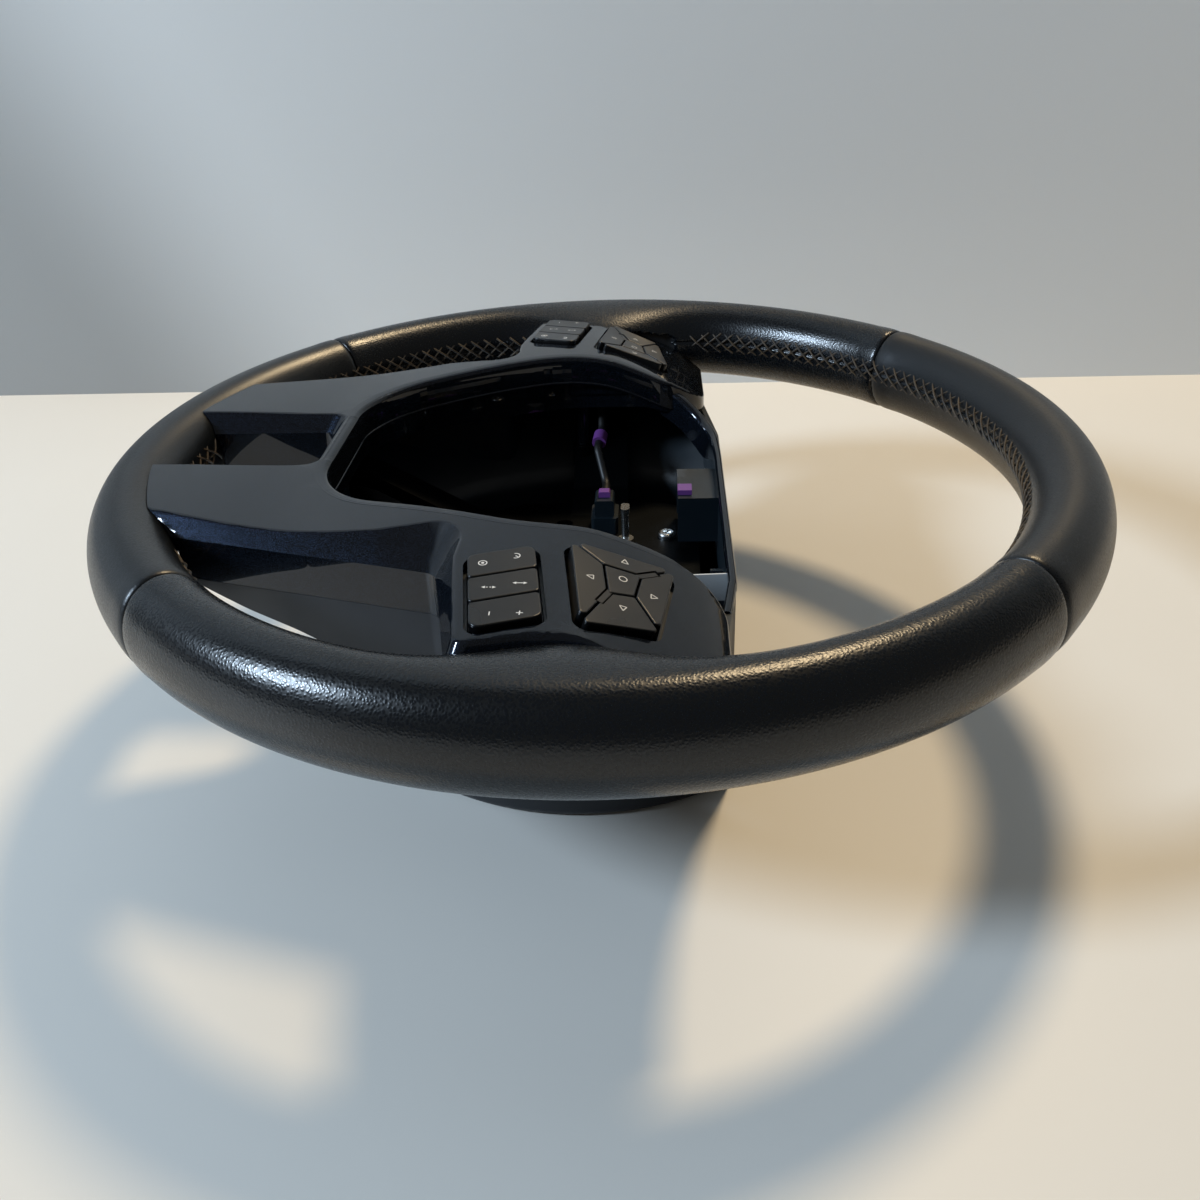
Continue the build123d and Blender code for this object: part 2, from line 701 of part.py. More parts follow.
def dome_mat(plane, quad, corner, places):
    """Silicone mat with a dome under each key end."""
    edge = pad_outline(quad, corner, KEY_CLEARANCE - MAT_CLEARANCE)
    mat = prism(plane, edge, MAT_TOP - MAT, MAT_TOP)
    for x, y in places:
        mat += plane * Pos(x, y, MAT_TOP) * extrude(Circle(DOME_RADIUS), DOME, taper=30)
    return mat


def circuit_board(plane, quad, corner):
    """Board under the mat."""
    edge = pad_outline(quad, corner, KEY_CLEARANCE - MAT_CLEARANCE)
    return prism(plane, edge, MAT_TOP - MAT - BOARD, MAT_TOP - MAT)


def dome_places():
    """Places of the domes of each pad, in its plane."""
    rockers = []
    for row in range(3):
        low_left, low_right, high_right, high_left = [Vector(*corner) for corner in rocker_quad(row, row)]
        centre = (low_left + high_right) / 2
        for end in ((low_left + low_right) / 2, (high_left + high_right) / 2):
            place = centre + (end - centre) * ROCKER_DOME_SHARE
            rockers.append((place.X, place.Y))
    middle = Vector(NAV_OK_X, 0)
    corners = [Vector(*corner) for corner in nav_quad()]
    nav = [(middle.X, middle.Y)]
    for first, second in zip(corners, corners[1:] + corners[:1]):
        place = middle + ((first + second) / 2 - middle) * NAV_DOME_SHARE
        nav.append((place.X, place.Y))
    return {"rocker": rockers, "nav": nav}


def front_trim():
    """Hollow moulding round the bay: two switch arms and two lower spokes."""
    opening = bay()
    right_half = Pos(FAR / 2, 0, 0) * Box(FAR, FAR, FAR)
    half = (trim_block() - opening) & right_half
    face_edges = [edge for edge in half.edges() if on_face(edge)]
    crests = [edge for edge in face_edges if outside_edge(edge) and opening.distance_to(edge @ 0.5) > 0.5]
    half = fillet(crests, CREST_ROUND)
    lip = [edge for edge in half.edges() if on_face(edge) and opening.distance_to(edge @ 0.5) < 0.01]
    half = fillet(lip, LIP_ROUND)
    half -= trim_block(TRIM_WALL) - bay(TRIM_WALL) - arm_floor()
    half -= bay(LEDGE) & ledge_room()
    for plane, quad, corner in PADS.values():
        half -= prism(plane, pad_outline(quad, corner, PAD_SURROUND), -KEY_DEPTH, KEY_DEPTH)
    half -= side_bar(BAR_CLEARANCE) + lower_bar(BAR_CLEARANCE)
    half -= grip_plain(-LEATHER_CLEARANCE, 0, 0, 360)
    for x, y, middle in trim_post_places():
        foot = middle + BAR_BOSS_HEIGHT / 2 + COVER_JOINT
        post = extrude(Circle(TRIM_POST_RADIUS), face_height(x, y) - TRIM_WALL / 2 - foot)
        half += Pos(x, y, foot) * post
        half -= Pos(x, y, foot) * extrude(Circle(SCREW_SHANK_RADIUS), SCREW_LENGTH)
    return half + mirror(half, about=Plane.YZ)


def arm_floor():
    """Floor that closes the trim's arms at their ends."""
    return under_parting(-TRIM_WALL) & Pos(0, ARM_FLOOR_Y + FAR / 2, 0) * Box(FAR, FAR, FAR)


def ledge_room():
    """Room below the ledge in the bay's wall."""
    return Pos(0, LEDGE_END - FAR / 2, RIM_HEIGHT - FAR / 2) * Box(FAR, FAR, FAR)


def outside_edge(edge):
    """Whether an edge of the right half is a crest, and not on the wheel's middle or an arm's end."""
    middle = edge @ 0.5
    return middle.X > 0.01 and middle.Y < 5


def on_face(edge):
    """Whether an edge lies on the trim's crowned face."""
    middle = edge @ 0.5
    return abs(middle.Z - face_height(middle.X, middle.Y)) < 0.05


def leather_panels():
    """Four leather panels, cut away where the spokes pass."""
    outside = grip_parts(0, SEAM_GAP)
    inside = grip_parts(LEATHER, 0)
    room = side_spoke_room(LEATHER_CLEARANCE)
    bars = spoke_bars(CORE_CLEARANCE + LEATHER_CLEARANCE)
    names = ("right", "left", "top", "bottom")
    panels = {}
    for name, out, hollow in zip(names, outside, inside):
        panel = out - hollow
        if name in ("right", "left"):
            panel -= room
        if name == "bottom":
            panel -= bars
        panels["leather_" + name] = panel
    return panels


def rim_foam():
    """Foam moulded round the rim core, under the leather."""
    right, left, top, bottom = grip_parts(LEATHER + GLUE_LINE, 0)
    foam = (right + left) - side_spoke_room(LEATHER_CLEARANCE)
    foam += top
    foam += bottom
    return foam - core_ring(CORE_CLEARANCE) - spoke_bars(CORE_CLEARANCE)


def airbag_pins():
    """Two spring pins that the airbag module snaps onto."""
    pins = []
    for side in (-1, 1):
        stem = extrude(Circle(PIN_RADIUS), PIN_HEIGHT)
        foot = extrude(Circle(2 * PIN_RADIUS), PIN_RADIUS)
        head = extrude(RectangleRounded(4 * PIN_RADIUS, 2.2 * PIN_RADIUS, 2), 1.6 * PIN_RADIUS)
        pin = stem + foot + Pos(side * PIN_HEAD_SHIFT, 0, PIN_HEIGHT) * head
        pins.append(Pos(side * PIN_X, PIN_Y, PLATE_TOP) * pin)
    return pins


def screw(length):
    """Pan-head screw with a hex socket, its head's underside at the origin."""
    shank = Pos(0, 0, -length) * extrude(Circle(SCREW_SHANK_RADIUS - SCREW_PLAY), length)
    head = extrude(Circle(SCREW_HEAD_RADIUS), SCREW_HEAD)
    head = fillet(head.edges().sort_by(Axis.Z)[-1], SCREW_HEAD / 2)
    socket = Pos(0, 0, SCREW_HEAD / 2) * extrude(RegularPolygon(SCREW_SOCKET, 6), SCREW_HEAD)
    return shank + head - socket


def cover_screws():
    """Screws through the hub plate into the rear cover's posts."""
    length = PLATE_THICKNESS + SCREW_LENGTH - SCREW_TIP
    return [Pos(x, y, PLATE_TOP) * screw(length) for x, y in cover_post_places()]


def trim_screws():
    """Screws up through the bars into the trim's posts."""
    length = BAR_BOSS_HEIGHT + SCREW_LENGTH - SCREW_TIP
    right = [
        Pos(x, y, middle - BAR_BOSS_HEIGHT / 2) * Rot(180, 0, 0) * screw(length)
        for x, y, middle in trim_post_places()
    ]
    return right + [mirror(one, about=Plane.YZ) for one in right]


def lead_points():
    """Route of the right-hand switch lead: from under the five-key pad to the plug on the hub plate."""
    start = NAV_PLANE.from_local_coords((LEAD_START, LEAD_START, HOUSING_FLOOR - COVER_JOINT))
    plug_height = PLATE_TOP + SOCKET_HEIGHT + PLUG_HEIGHT / 2
    return [
        start,
        start - NAV_PLANE.z_dir * LEAD_DROP,
        Vector(*LEAD_AT_WALL),
        Vector(*LEAD_IN_BAY),
        Vector(LEAD_FOOT_X, PLUG_Y, plug_height),
        Vector(PLUG_X + PLUG_LENGTH / 2, PLUG_Y, plug_height),
    ]


def switch_lead():
    """Round lead with its wires inside one sleeve."""
    path = FilletPolyline(*lead_points(), radius=LEAD_BEND)
    section = Plane(origin=path @ 0, z_dir=path % 0) * Circle(LEAD_RADIUS)
    return sweep(section, path)


def lead_clip():
    """Violet clip round the lead where it crosses into the bay."""
    at_wall, in_bay = lead_points()[2:4]
    place = Plane(origin=(at_wall + in_bay) / 2, z_dir=in_bay - at_wall)
    ring = Circle(LEAD_RADIUS + CLIP_WALL) - Circle(LEAD_RADIUS + SCREW_PLAY)
    return place * extrude(ring, CLIP_LENGTH / 2, both=True)


def hub_socket():
    """Socket for the switch lead, on the hub plate."""
    edge = RectangleRounded(PLUG_LENGTH + 4, PLUG_WIDTH + 4, 2)
    return Pos(PLUG_X, PLUG_Y, PLATE_TOP) * extrude(edge, SOCKET_HEIGHT)


def hub_plug():
    """Plug on the lead's end, standing in its socket."""
    body = extrude(Rectangle(PLUG_LENGTH, PLUG_WIDTH), PLUG_HEIGHT)
    body = fillet(body.edges().filter_by(Axis.X), 1.5)
    return Pos(PLUG_X, PLUG_Y, PLATE_TOP + SOCKET_HEIGHT) * body


def plug_lock():
    """Violet lock on top of the plug."""
    lock = Box(*LOCK, align=(Align.CENTER, Align.CENTER, Align.MIN))
    lock = fillet(lock.edges().filter_by(Axis.X).sort_by(Axis.Z)[-2:], 1)
    return Pos(PLUG_X, PLUG_Y, PLATE_TOP + SOCKET_HEIGHT + PLUG_HEIGHT) * lock


def latch_tab():
    """Violet tab on top of the latch block."""
    front = COVER_INSIDE - LATCH_DEPTH
    side = LATCH_X + LATCH_WIDTH / 2
    return Pos(side - TAB[0], front + TAB[1] / 2, LATCH_TOP + TAB[2] / 2) * Box(*TAB)


def flat_lead():
    """Plain ribbon lead, standing on edge from the 12 o'clock wall to the right-hand arm."""
    path = FilletPolyline(*RIBBON_PLACES, radius=RIBBON_BEND)
    band = offset(path, RIBBON / 2, side=Side.BOTH)
    return Pos(0, 0, RIBBON_LOW) * extrude(make_face(band.edges()), RIBBON_HIGH - RIBBON_LOW)


def write(name, shape):
    """Write one piece, or a group of like solids, to its own file."""
    group = shape if isinstance(shape, list) else [shape]
    solids = [solid for part in group for solid in part.solids()]
    piece = solids[0] if len(solids) == 1 else Compound(children=solids)
    export_step(piece, f"parts/{name}.step")


def main():
    """Build every piece and write it."""
    os.makedirs("parts", exist_ok=True)
    pieces = {
        "armature": armature(),
        "rim_foam": rim_foam(),
        **leather_panels(),
        "front_trim": front_trim(),
        "rear_cover": rear_cover(),
        "airbag_pins": airbag_pins(),
        "cover_screws": cover_screws(),
        "trim_screws": trim_screws(),
        "latch_tab": latch_tab(),
        "flat_lead": flat_lead(),
    }
    places = dome_places()
    right = {}
    for name, key in zip(("inner", "middle", "outer"), rocker_keys()):
        right[f"{name}_rocker"] = key
    for name, key in zip(("down", "rim", "up", "hub", "ok"), nav_keys()):
        right[f"{name}_key"] = key
    for pad, (plane, quad, corner) in PADS.items():
        right[f"{pad}_housing"] = switch_housing(plane, quad, corner)
        right[f"{pad}_mat"] = dome_mat(plane, quad, corner, places[pad])
        right[f"{pad}_board"] = circuit_board(plane, quad, corner)
    right["lead"] = switch_lead()
    right["lead_clip"] = lead_clip()
    right["hub_socket"] = hub_socket()
    right["hub_plug"] = hub_plug()
    right["plug_lock"] = plug_lock()
    for name, solid in right.items():
        pieces["right_" + name] = solid
        pieces["left_" + name] = mirror(solid, about=Plane.YZ)
    for name, solid in pieces.items():
        write(name, solid)


main()
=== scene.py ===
"""Looks of a leather steering wheel that lies on its rear cover with its airbag module taken out.

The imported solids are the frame. This script dresses them, remakes the leather as a stretched skin with
seams and cross stitching, prints the switch legends and sets the table, the light and the camera.
Sizes are in millimetres and turn to metres where a mesh is made. +X is the driver's right, +Y is
12 o'clock and +Z points to the driver.
"""

import json
import logging
import math
from contextlib import contextmanager
from dataclasses import dataclass, field
from enum import Enum
from typing import Any, Callable, Iterable, Iterator, Sequence

import bmesh
import bpy
from mathutils import Matrix, Vector
from mathutils.bvhtree import BVHTree

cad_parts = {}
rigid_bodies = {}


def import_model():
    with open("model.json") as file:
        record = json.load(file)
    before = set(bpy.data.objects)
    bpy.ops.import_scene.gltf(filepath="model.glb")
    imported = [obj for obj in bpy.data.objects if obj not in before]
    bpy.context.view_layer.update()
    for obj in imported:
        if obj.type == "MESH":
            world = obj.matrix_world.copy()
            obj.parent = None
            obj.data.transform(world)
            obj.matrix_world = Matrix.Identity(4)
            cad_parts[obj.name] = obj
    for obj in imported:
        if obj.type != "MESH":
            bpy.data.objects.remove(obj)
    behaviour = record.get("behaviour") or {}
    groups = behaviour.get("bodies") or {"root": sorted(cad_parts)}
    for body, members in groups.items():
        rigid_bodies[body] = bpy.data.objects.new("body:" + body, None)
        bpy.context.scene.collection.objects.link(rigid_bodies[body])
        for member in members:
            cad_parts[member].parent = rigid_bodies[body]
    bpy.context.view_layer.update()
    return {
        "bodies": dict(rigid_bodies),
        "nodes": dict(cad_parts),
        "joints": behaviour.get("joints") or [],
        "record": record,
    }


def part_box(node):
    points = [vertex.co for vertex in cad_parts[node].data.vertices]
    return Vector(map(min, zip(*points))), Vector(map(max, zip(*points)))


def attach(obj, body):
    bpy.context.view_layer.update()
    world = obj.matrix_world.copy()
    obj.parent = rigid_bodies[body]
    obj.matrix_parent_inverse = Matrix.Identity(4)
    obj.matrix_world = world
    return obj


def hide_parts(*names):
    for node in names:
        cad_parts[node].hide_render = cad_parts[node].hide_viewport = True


MM = 0.001
BODY = "wheel"
MERGE_MM = 0.002
FLAT_DEG = 0.6
SHARP_DEG = 50.0
LOG = logging.getLogger("steering_wheel")
FRAME: dict[str, Any] = {}


def frame_nodes() -> dict[str, bpy.types.Object]:
    """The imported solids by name."""
    return FRAME["nodes"]


def faces_of(node: str) -> BVHTree:
    """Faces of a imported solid, for casting rays at."""
    return BVHTree.FromObject(frame_nodes()[node], bpy.context.evaluated_depsgraph_get())


class Side(Enum):
    """The two sides of the wheel, with the sign of their X."""

    RIGHT = 1
    LEFT = -1

    @property
    def word(self) -> str:
        """Prefix of the side's node names."""
        return self.name.lower()


def colour(value: str, share: float = 1.0) -> tuple[float, float, float, float]:
    """Turn an sRGB hex value to linear.

    Args:
        value: Six hex digits after a hash sign.
        share: Share of the colour's light that is kept.

    Returns:
        Linear red, green, blue and full opacity.
    """
    parts = [int(value[i : i + 2], 16) / 255 for i in (1, 3, 5)]
    linear = [p / 12.92 if p <= 0.04045 else ((p + 0.055) / 1.055) ** 2.4 for p in parts]
    return linear[0] * share, linear[1] * share, linear[2] * share, 1.0


def add_node(
    tree: bpy.types.NodeTree, kind: str, inputs: dict[str | int, Any] | None = None, **settings: Any
) -> bpy.types.Node:
    """Add a node with its settings, fixed inputs and links.

    Args:
        tree: Node tree to add to.
        kind: Node type.
        inputs: Socket name or number to a fixed value or to the output that feeds it.
        **settings: Properties of the node itself.

    Returns:
        The new node.
    """
    node = tree.nodes.new(kind)
    for name, value in settings.items():
        setattr(node, name, value)
    for name, value in (inputs or {}).items():
        if isinstance(value, bpy.types.NodeSocket):
            tree.links.new(value, node.inputs[name])
        else:
            node.inputs[name].default_value = value
    return node


def start_material(
    name: str, **inputs: Any
) -> tuple[bpy.types.Material, bpy.types.NodeTree, bpy.types.Node, bpy.types.NodeSocket]:
    """Make a material whose shader has some fixed inputs.

    Args:
        name: Name of the real material.
        **inputs: Shader inputs, with spaces as underscores.

    Returns:
        The material, its node tree, its shader and the object coordinates that its patterns read.
    """
    material = bpy.data.materials.new(name)
    material.use_nodes = True
    shader = material.node_tree.nodes["Principled BSDF"]
    for key, value in inputs.items():
        shader.inputs[key.replace("_", " ")].default_value = value
    place = add_node(material.node_tree, "ShaderNodeTexCoord").outputs["Object"]
    return material, material.node_tree, shader, place


def per_metre(size_mm: float) -> float:
    """Texture scale at which one cell is as large as a real size in millimetres."""
    return 1 / (size_mm * MM)


@dataclass(frozen=True)
class Leather:
    """Corrected-grain cowhide, dyed through, embossed and finished with a satin top coat.

    The embossing breaks highlights into small pebbles, which are smoother than the creases between them. The
    creases are painted darker, as shade.
    """

    name: str
    hide: str
    crease: str
    pebble_mm: float
    relief_mm: float
    smooth: float
    rough: float
    drift_mm: float = 4.0
    pore_mm: float = 0.45
    pore_share: float = 0.2
    wear_mm: float = 60.0
    wear: float = 0.1

    def material(self) -> bpy.types.Material:
        """Build the leather's material.

        Returns:
            The material.
        """
        material, tree, shader, place = start_material(self.name, IOR=1.5, Specular_IOR_Level=0.5)
        drift = add_node(
            tree, "ShaderNodeTexNoise", {"Vector": place, "Scale": per_metre(self.drift_mm), "Detail": 2.0}
        )
        pull = (self.pebble_mm * MM,) * 3
        drawn = add_node(
            tree, "ShaderNodeVectorMath", {0: drift.outputs["Color"], 1: pull, 2: place},
            operation="MULTIPLY_ADD",
        )
        pebbles = add_node(
            tree, "ShaderNodeTexVoronoi",
            {"Vector": drawn.outputs[0], "Scale": per_metre(self.pebble_mm),
             "Smoothness": 0.45, "Randomness": 0.9},
            feature="SMOOTH_F1",
        )
        dome = add_node(
            tree, "ShaderNodeMapRange",
            {"Value": pebbles.outputs["Distance"],
             "From Min": 0.1, "From Max": 0.75, "To Min": 1.0, "To Max": 0.0},
            interpolation_type="SMOOTHSTEP",
        )
        pores = add_node(
            tree, "ShaderNodeTexNoise",
            {"Vector": place, "Scale": per_metre(self.pore_mm), "Detail": 2.0, "Roughness": 0.6},
        )
        height = add_node(
            tree, "ShaderNodeMath", {0: pores.outputs["Fac"], 1: self.pore_share, 2: dome.outputs[0]},
            operation="MULTIPLY_ADD",
        )
        bump = add_node(
            tree, "ShaderNodeBump",
            {"Strength": 1.0, "Distance": self.relief_mm * MM, "Height": height.outputs[0]},
        )
        wear = add_node(
            tree, "ShaderNodeTexNoise", {"Vector": place, "Scale": per_metre(self.wear_mm), "Detail": 3.0}
        )
        # Painted shade: the creases between the pebbles take the darker crease colour.
        tint = add_node(
            tree, "ShaderNodeMix",
            {0: dome.outputs[0], 6: colour(self.crease), 7: colour(self.hide)}, data_type="RGBA",
        )
        polish = add_node(
            tree, "ShaderNodeMapRange",
            {"Value": dome.outputs[0], "To Min": self.rough, "To Max": self.smooth},
        )
        handled = add_node(
            tree, "ShaderNodeMath",
            {0: wear.outputs["Fac"], 1: self.wear, 2: polish.outputs[0]}, operation="MULTIPLY_ADD",
        )
        tree.links.new(tint.outputs[2], shader.inputs["Base Color"])
        tree.links.new(handled.outputs[0], shader.inputs["Roughness"])
        tree.links.new(bump.outputs[0], shader.inputs["Normal"])
        return material


@dataclass(frozen=True)
class FlakeLacquer:
    """Injection-moulded ABS with a charcoal metallic base coat under clear lacquer.

    The clear coat gives sharp reflections, and tilted flakes in the base coat sparkle under it.
    """

    name: str = "charcoal_flake_lacquer"
    base: str = "#06080b"
    flake: str = "#46536a"
    flake_mm: float = 0.07
    tilt: float = 0.05
    share: float = 0.14

    def material(self) -> bpy.types.Material:
        """Build the lacquer's material.

        Returns:
            The material.
        """
        material, tree, shader, place = start_material(
            self.name, Roughness=0.36, Specular_IOR_Level=0.0,
            Coat_Weight=1.0, Coat_Roughness=0.015, Coat_IOR=1.45,
        )
        flakes = add_node(tree, "ShaderNodeTexVoronoi", {"Vector": place, "Scale": per_metre(self.flake_mm)})
        spread = add_node(
            tree, "ShaderNodeVectorMath", {0: flakes.outputs["Color"], 1: (0.5, 0.5, 0.5)},
            operation="SUBTRACT",
        )
        facing = add_node(tree, "ShaderNodeNewGeometry").outputs["Normal"]
        tilted = add_node(
            tree, "ShaderNodeVectorMath",
            {0: spread.outputs[0], 1: (self.tilt, self.tilt, self.tilt), 2: facing}, operation="MULTIPLY_ADD",
        )
        normal = add_node(tree, "ShaderNodeVectorMath", {0: tilted.outputs[0]}, operation="NORMALIZE")
        share = add_node(tree, "ShaderNodeSeparateColor", {0: flakes.outputs["Color"]})
        bright = add_node(
            tree, "ShaderNodeMapRange",
            {"Value": share.outputs[0], "From Min": 1 - self.share, "From Max": 1.0},
        )
        tint = add_node(
            tree, "ShaderNodeMix", {0: bright.outputs[0], 6: colour(self.base), 7: colour(self.flake)},
            data_type="RGBA",
        )
        tree.links.new(tint.outputs[2], shader.inputs["Base Color"])
        tree.links.new(bright.outputs[0], shader.inputs["Metallic"])
        tree.links.new(normal.outputs[0], shader.inputs["Normal"])
        return material


@dataclass(frozen=True)
class MouldedPlastic:
    """Moulded plastic with the fine texture of a spark-eroded tool.

    The texture softens reflections, its pits are painted darker as shade, and a slow change of gloss keeps
    large faces from looking flat.
    """

    name: str
    tone: str
    roughness: float
    grit_mm: float = 0.4
    relief_mm: float = 0.02
    mottle: float = 0.06
    mottle_mm: float = 25.0
    # Share of the tone kept in the texture's pits: painted shade.
    pit_light: float = 0.8

    def material(self) -> bpy.types.Material:
        """Build the plastic's material.

        Returns:
            The material.
        """
        material, tree, shader, place = start_material(self.name, IOR=1.5)
        grit = add_node(
            tree, "ShaderNodeTexNoise", {"Vector": place, "Scale": per_metre(self.grit_mm), "Detail": 3.0}
        )
        slow = add_node(
            tree, "ShaderNodeTexNoise", {"Vector": place, "Scale": per_metre(self.mottle_mm), "Detail": 2.0}
        )
        bump = add_node(
            tree, "ShaderNodeBump",
            {"Strength": 1.0, "Distance": self.relief_mm * MM, "Height": grit.outputs["Fac"]},
        )
        gloss = add_node(
            tree, "ShaderNodeMapRange",
            {"Value": slow.outputs["Fac"], "From Min": 0.3, "From Max": 0.7,
             "To Min": self.roughness - self.mottle, "To Max": self.roughness + self.mottle},
        )
        # Painted shade: the pits of the texture keep only pit_light of the tone.
        tint = add_node(
            tree, "ShaderNodeMix",
            {0: grit.outputs["Fac"], 6: colour(self.tone, self.pit_light), 7: colour(self.tone)},
            data_type="RGBA",
        )
        tree.links.new(tint.outputs[2], shader.inputs["Base Color"])
        tree.links.new(gloss.outputs[0], shader.inputs["Roughness"])
        tree.links.new(bump.outputs[0], shader.inputs["Normal"])
        return material


@dataclass(frozen=True)
class Metal:
    """Metal with a fine cast or plated surface: grain in the gloss, and a little relief."""

    name: str
    tone: str
    roughness: float
    grain_mm: float
    relief_mm: float
    spread: float = 0.1

    def material(self) -> bpy.types.Material:
        """Build the metal's material.

        Returns:
            The material.
        """
        material, tree, shader, place = start_material(self.name, Metallic=1.0, Base_Color=colour(self.tone))
        grain = add_node(
            tree, "ShaderNodeTexNoise", {"Vector": place, "Scale": per_metre(self.grain_mm), "Detail": 4.0}
        )
        bump = add_node(
            tree, "ShaderNodeBump",
            {"Strength": 1.0, "Distance": self.relief_mm * MM, "Height": grain.outputs["Fac"]},
        )
        gloss = add_node(
            tree, "ShaderNodeMapRange",
            {"Value": grain.outputs["Fac"], "To Min": self.roughness - self.spread,
             "To Max": self.roughness + self.spread},
        )
        tree.links.new(gloss.outputs[0], shader.inputs["Roughness"])
        tree.links.new(bump.outputs[0], shader.inputs["Normal"])
        return material


@dataclass(frozen=True)
class Thread:
    """Bonded polyester sewing thread: three plies whose twist shows as slanting ridges.

    Plies are too fine for the render, so their ridges are drawn coarser, and the grooves between them are
    painted darker as shade.
    """

    name: str = "bronze_thread"
    light: str = "#4b3b26"
    dark: str = "#241b11"
    ply_mm: float = 0.55
    ply_relief_mm: float = 0.06
    coarseness: float = 20.0

    def material(self) -> bpy.types.Material:
        """Build the thread's material.

        Returns:
            The material.
        """
        material, tree, shader, place = start_material(
            self.name, Roughness=0.5, Sheen_Weight=0.25, Sheen_Roughness=0.4
        )
        plies = add_node(
            tree, "ShaderNodeTexWave",
            {"Vector": place, "Scale": per_metre(self.ply_mm) / self.coarseness,
             "Distortion": 1.5, "Detail": 1.0},
            bands_direction="DIAGONAL",
        )
        bump = add_node(
            tree, "ShaderNodeBump",
            {"Strength": 0.8, "Distance": self.ply_relief_mm * MM, "Height": plies.outputs["Fac"]},
        )
        # Painted shade: the grooves between the ply ridges take the dark colour.
        tint = add_node(
            tree, "ShaderNodeMix", {0: plies.outputs["Fac"], 6: colour(self.dark), 7: colour(self.light)},
            data_type="RGBA",
        )
        tree.links.new(tint.outputs[2], shader.inputs["Base Color"])
        tree.links.new(bump.outputs[0], shader.inputs["Normal"])
        return material


@dataclass(frozen=True)
class Paint:
    """Pad-printed ink on the keys: flat, with a slight unevenness of its film."""

    name: str = "legend_ink"
    tone: str = "#e4e4e2"
    film_mm: float = 0.6
    thin_light: float = 0.8

    def material(self) -> bpy.types.Material:
        """Build the ink's material.

        Returns:
            The material.
        """
        material, tree, shader, place = start_material(self.name, Roughness=0.5)
        film = add_node(
            tree, "ShaderNodeTexNoise", {"Vector": place, "Scale": per_metre(self.film_mm), "Detail": 2.0}
        )
        tint = add_node(
            tree, "ShaderNodeMix",
            {0: film.outputs["Fac"], 6: colour(self.tone, self.thin_light), 7: colour(self.tone)},
            data_type="RGBA",
        )
        tree.links.new(tint.outputs[2], shader.inputs["Base Color"])
        return material


def add_object(name: str, data: bpy.types.ID) -> bpy.types.Object:
    """Add an object with its data to the scene.

    Args:
        name: Name of the object.
        data: Mesh, camera or light.

    Returns:
        The object.
    """
    added = bpy.data.objects.new(name, data)
    bpy.context.scene.collection.objects.link(added)
    return added


@contextmanager
def edited(mesh: bpy.types.Mesh) -> Iterator[bmesh.types.BMesh]:
    """Open a mesh for editing, and write it back afterwards.

    Args:
        mesh: Mesh to edit.

    Yields:
        The mesh's editable form.
    """
    work = bmesh.new()
    work.from_mesh(mesh)
    yield work
    work.to_mesh(mesh)
    work.free()


def make_object(
    name: str, points: Sequence[Vector], faces: Iterable[Sequence[int]], material: bpy.types.Material
) -> bpy.types.Object:
    """Make a mesh object from points in millimetres.

    Args:
        name: Name of the piece.
        points: Vertices in the wheel's frame, in millimetres.
        faces: Vertex numbers of each face.
        material: Finish of the piece.

    Returns:
        The object, at the origin, with its place in its mesh.
    """
    mesh = bpy.data.meshes.new(name)
    mesh.from_pydata([tuple(p * MM) for p in points], [], [tuple(f) for f in faces])
    mesh.materials.append(material)
    mesh.polygons.foreach_set("use_smooth", [True] * len(mesh.polygons))
    return add_object(name, mesh)


def swept_solid(
    name: str, sections: Sequence[Sequence[Vector]], material: bpy.types.Material
) -> bpy.types.Object:
    """Join closed sections to a solid with flat ends.

    Args:
        name: Name of the piece.
        sections: Points of each section in millimetres, in the same order in all of them.
        material: Finish of the piece.

    Returns:
        The piece, shaded smooth but for its hard edges.
    """
    width, rows = len(sections[0]), len(sections)
    faces: list[tuple[int, ...]] = []
    for first in range(0, (rows - 1) * width, width):
        for k in range(width):
            after = (k + 1) % width
            faces.append((first + k, first + after, first + width + after, first + width + k))
    faces += [tuple(range(width))[::-1], tuple(range((rows - 1) * width, rows * width))]
    piece = make_object(name, [point for section in sections for point in section], faces, material)
    with edited(piece.data) as work:
        bmesh.ops.recalc_face_normals(work, faces=work.faces)
    piece.data.set_sharp_from_angle(angle=math.radians(SHARP_DEG))
    return piece


def softened_copy(
    node: str, name: str, material: bpy.types.Material, width_mm: float, sharp_deg: float = 28.0
) -> bpy.types.Object:
    """Copy a solid's mesh, merge it, and round its hard edges.

    Args:
        node: Node to copy.
        name: Name of the new piece.
        material: Finish of the piece.
        width_mm: Width of the rounding.
        sharp_deg: Edges that turn by more than this are rounded.

    Returns:
        The piece, which stands for the node.
    """
    mesh = frame_nodes()[node].data.copy()
    mesh.name = name
    with edited(mesh) as work:
        bmesh.ops.remove_doubles(work, verts=work.verts, dist=MERGE_MM * MM)
        bmesh.ops.dissolve_limit(
            work, angle_limit=math.radians(FLAT_DEG), verts=work.verts, edges=work.edges,
            use_dissolve_boundaries=False,
        )
        for face in work.faces:
            face.smooth = True
    mesh.materials.clear()
    mesh.materials.append(material)
    piece = add_object(name, mesh)
    rounding = piece.modifiers.new("rounded_edges", "BEVEL")
    rounding.width = width_mm * MM
    rounding.segments = 2
    rounding.limit_method = "ANGLE"
    rounding.angle_limit = math.radians(sharp_deg)
    rounding.use_clamp_overlap = True
    rounding.harden_normals = True
    even = piece.modifiers.new("even_shading", "WEIGHTED_NORMAL")
    even.keep_sharp = False
    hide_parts(node)
    return piece


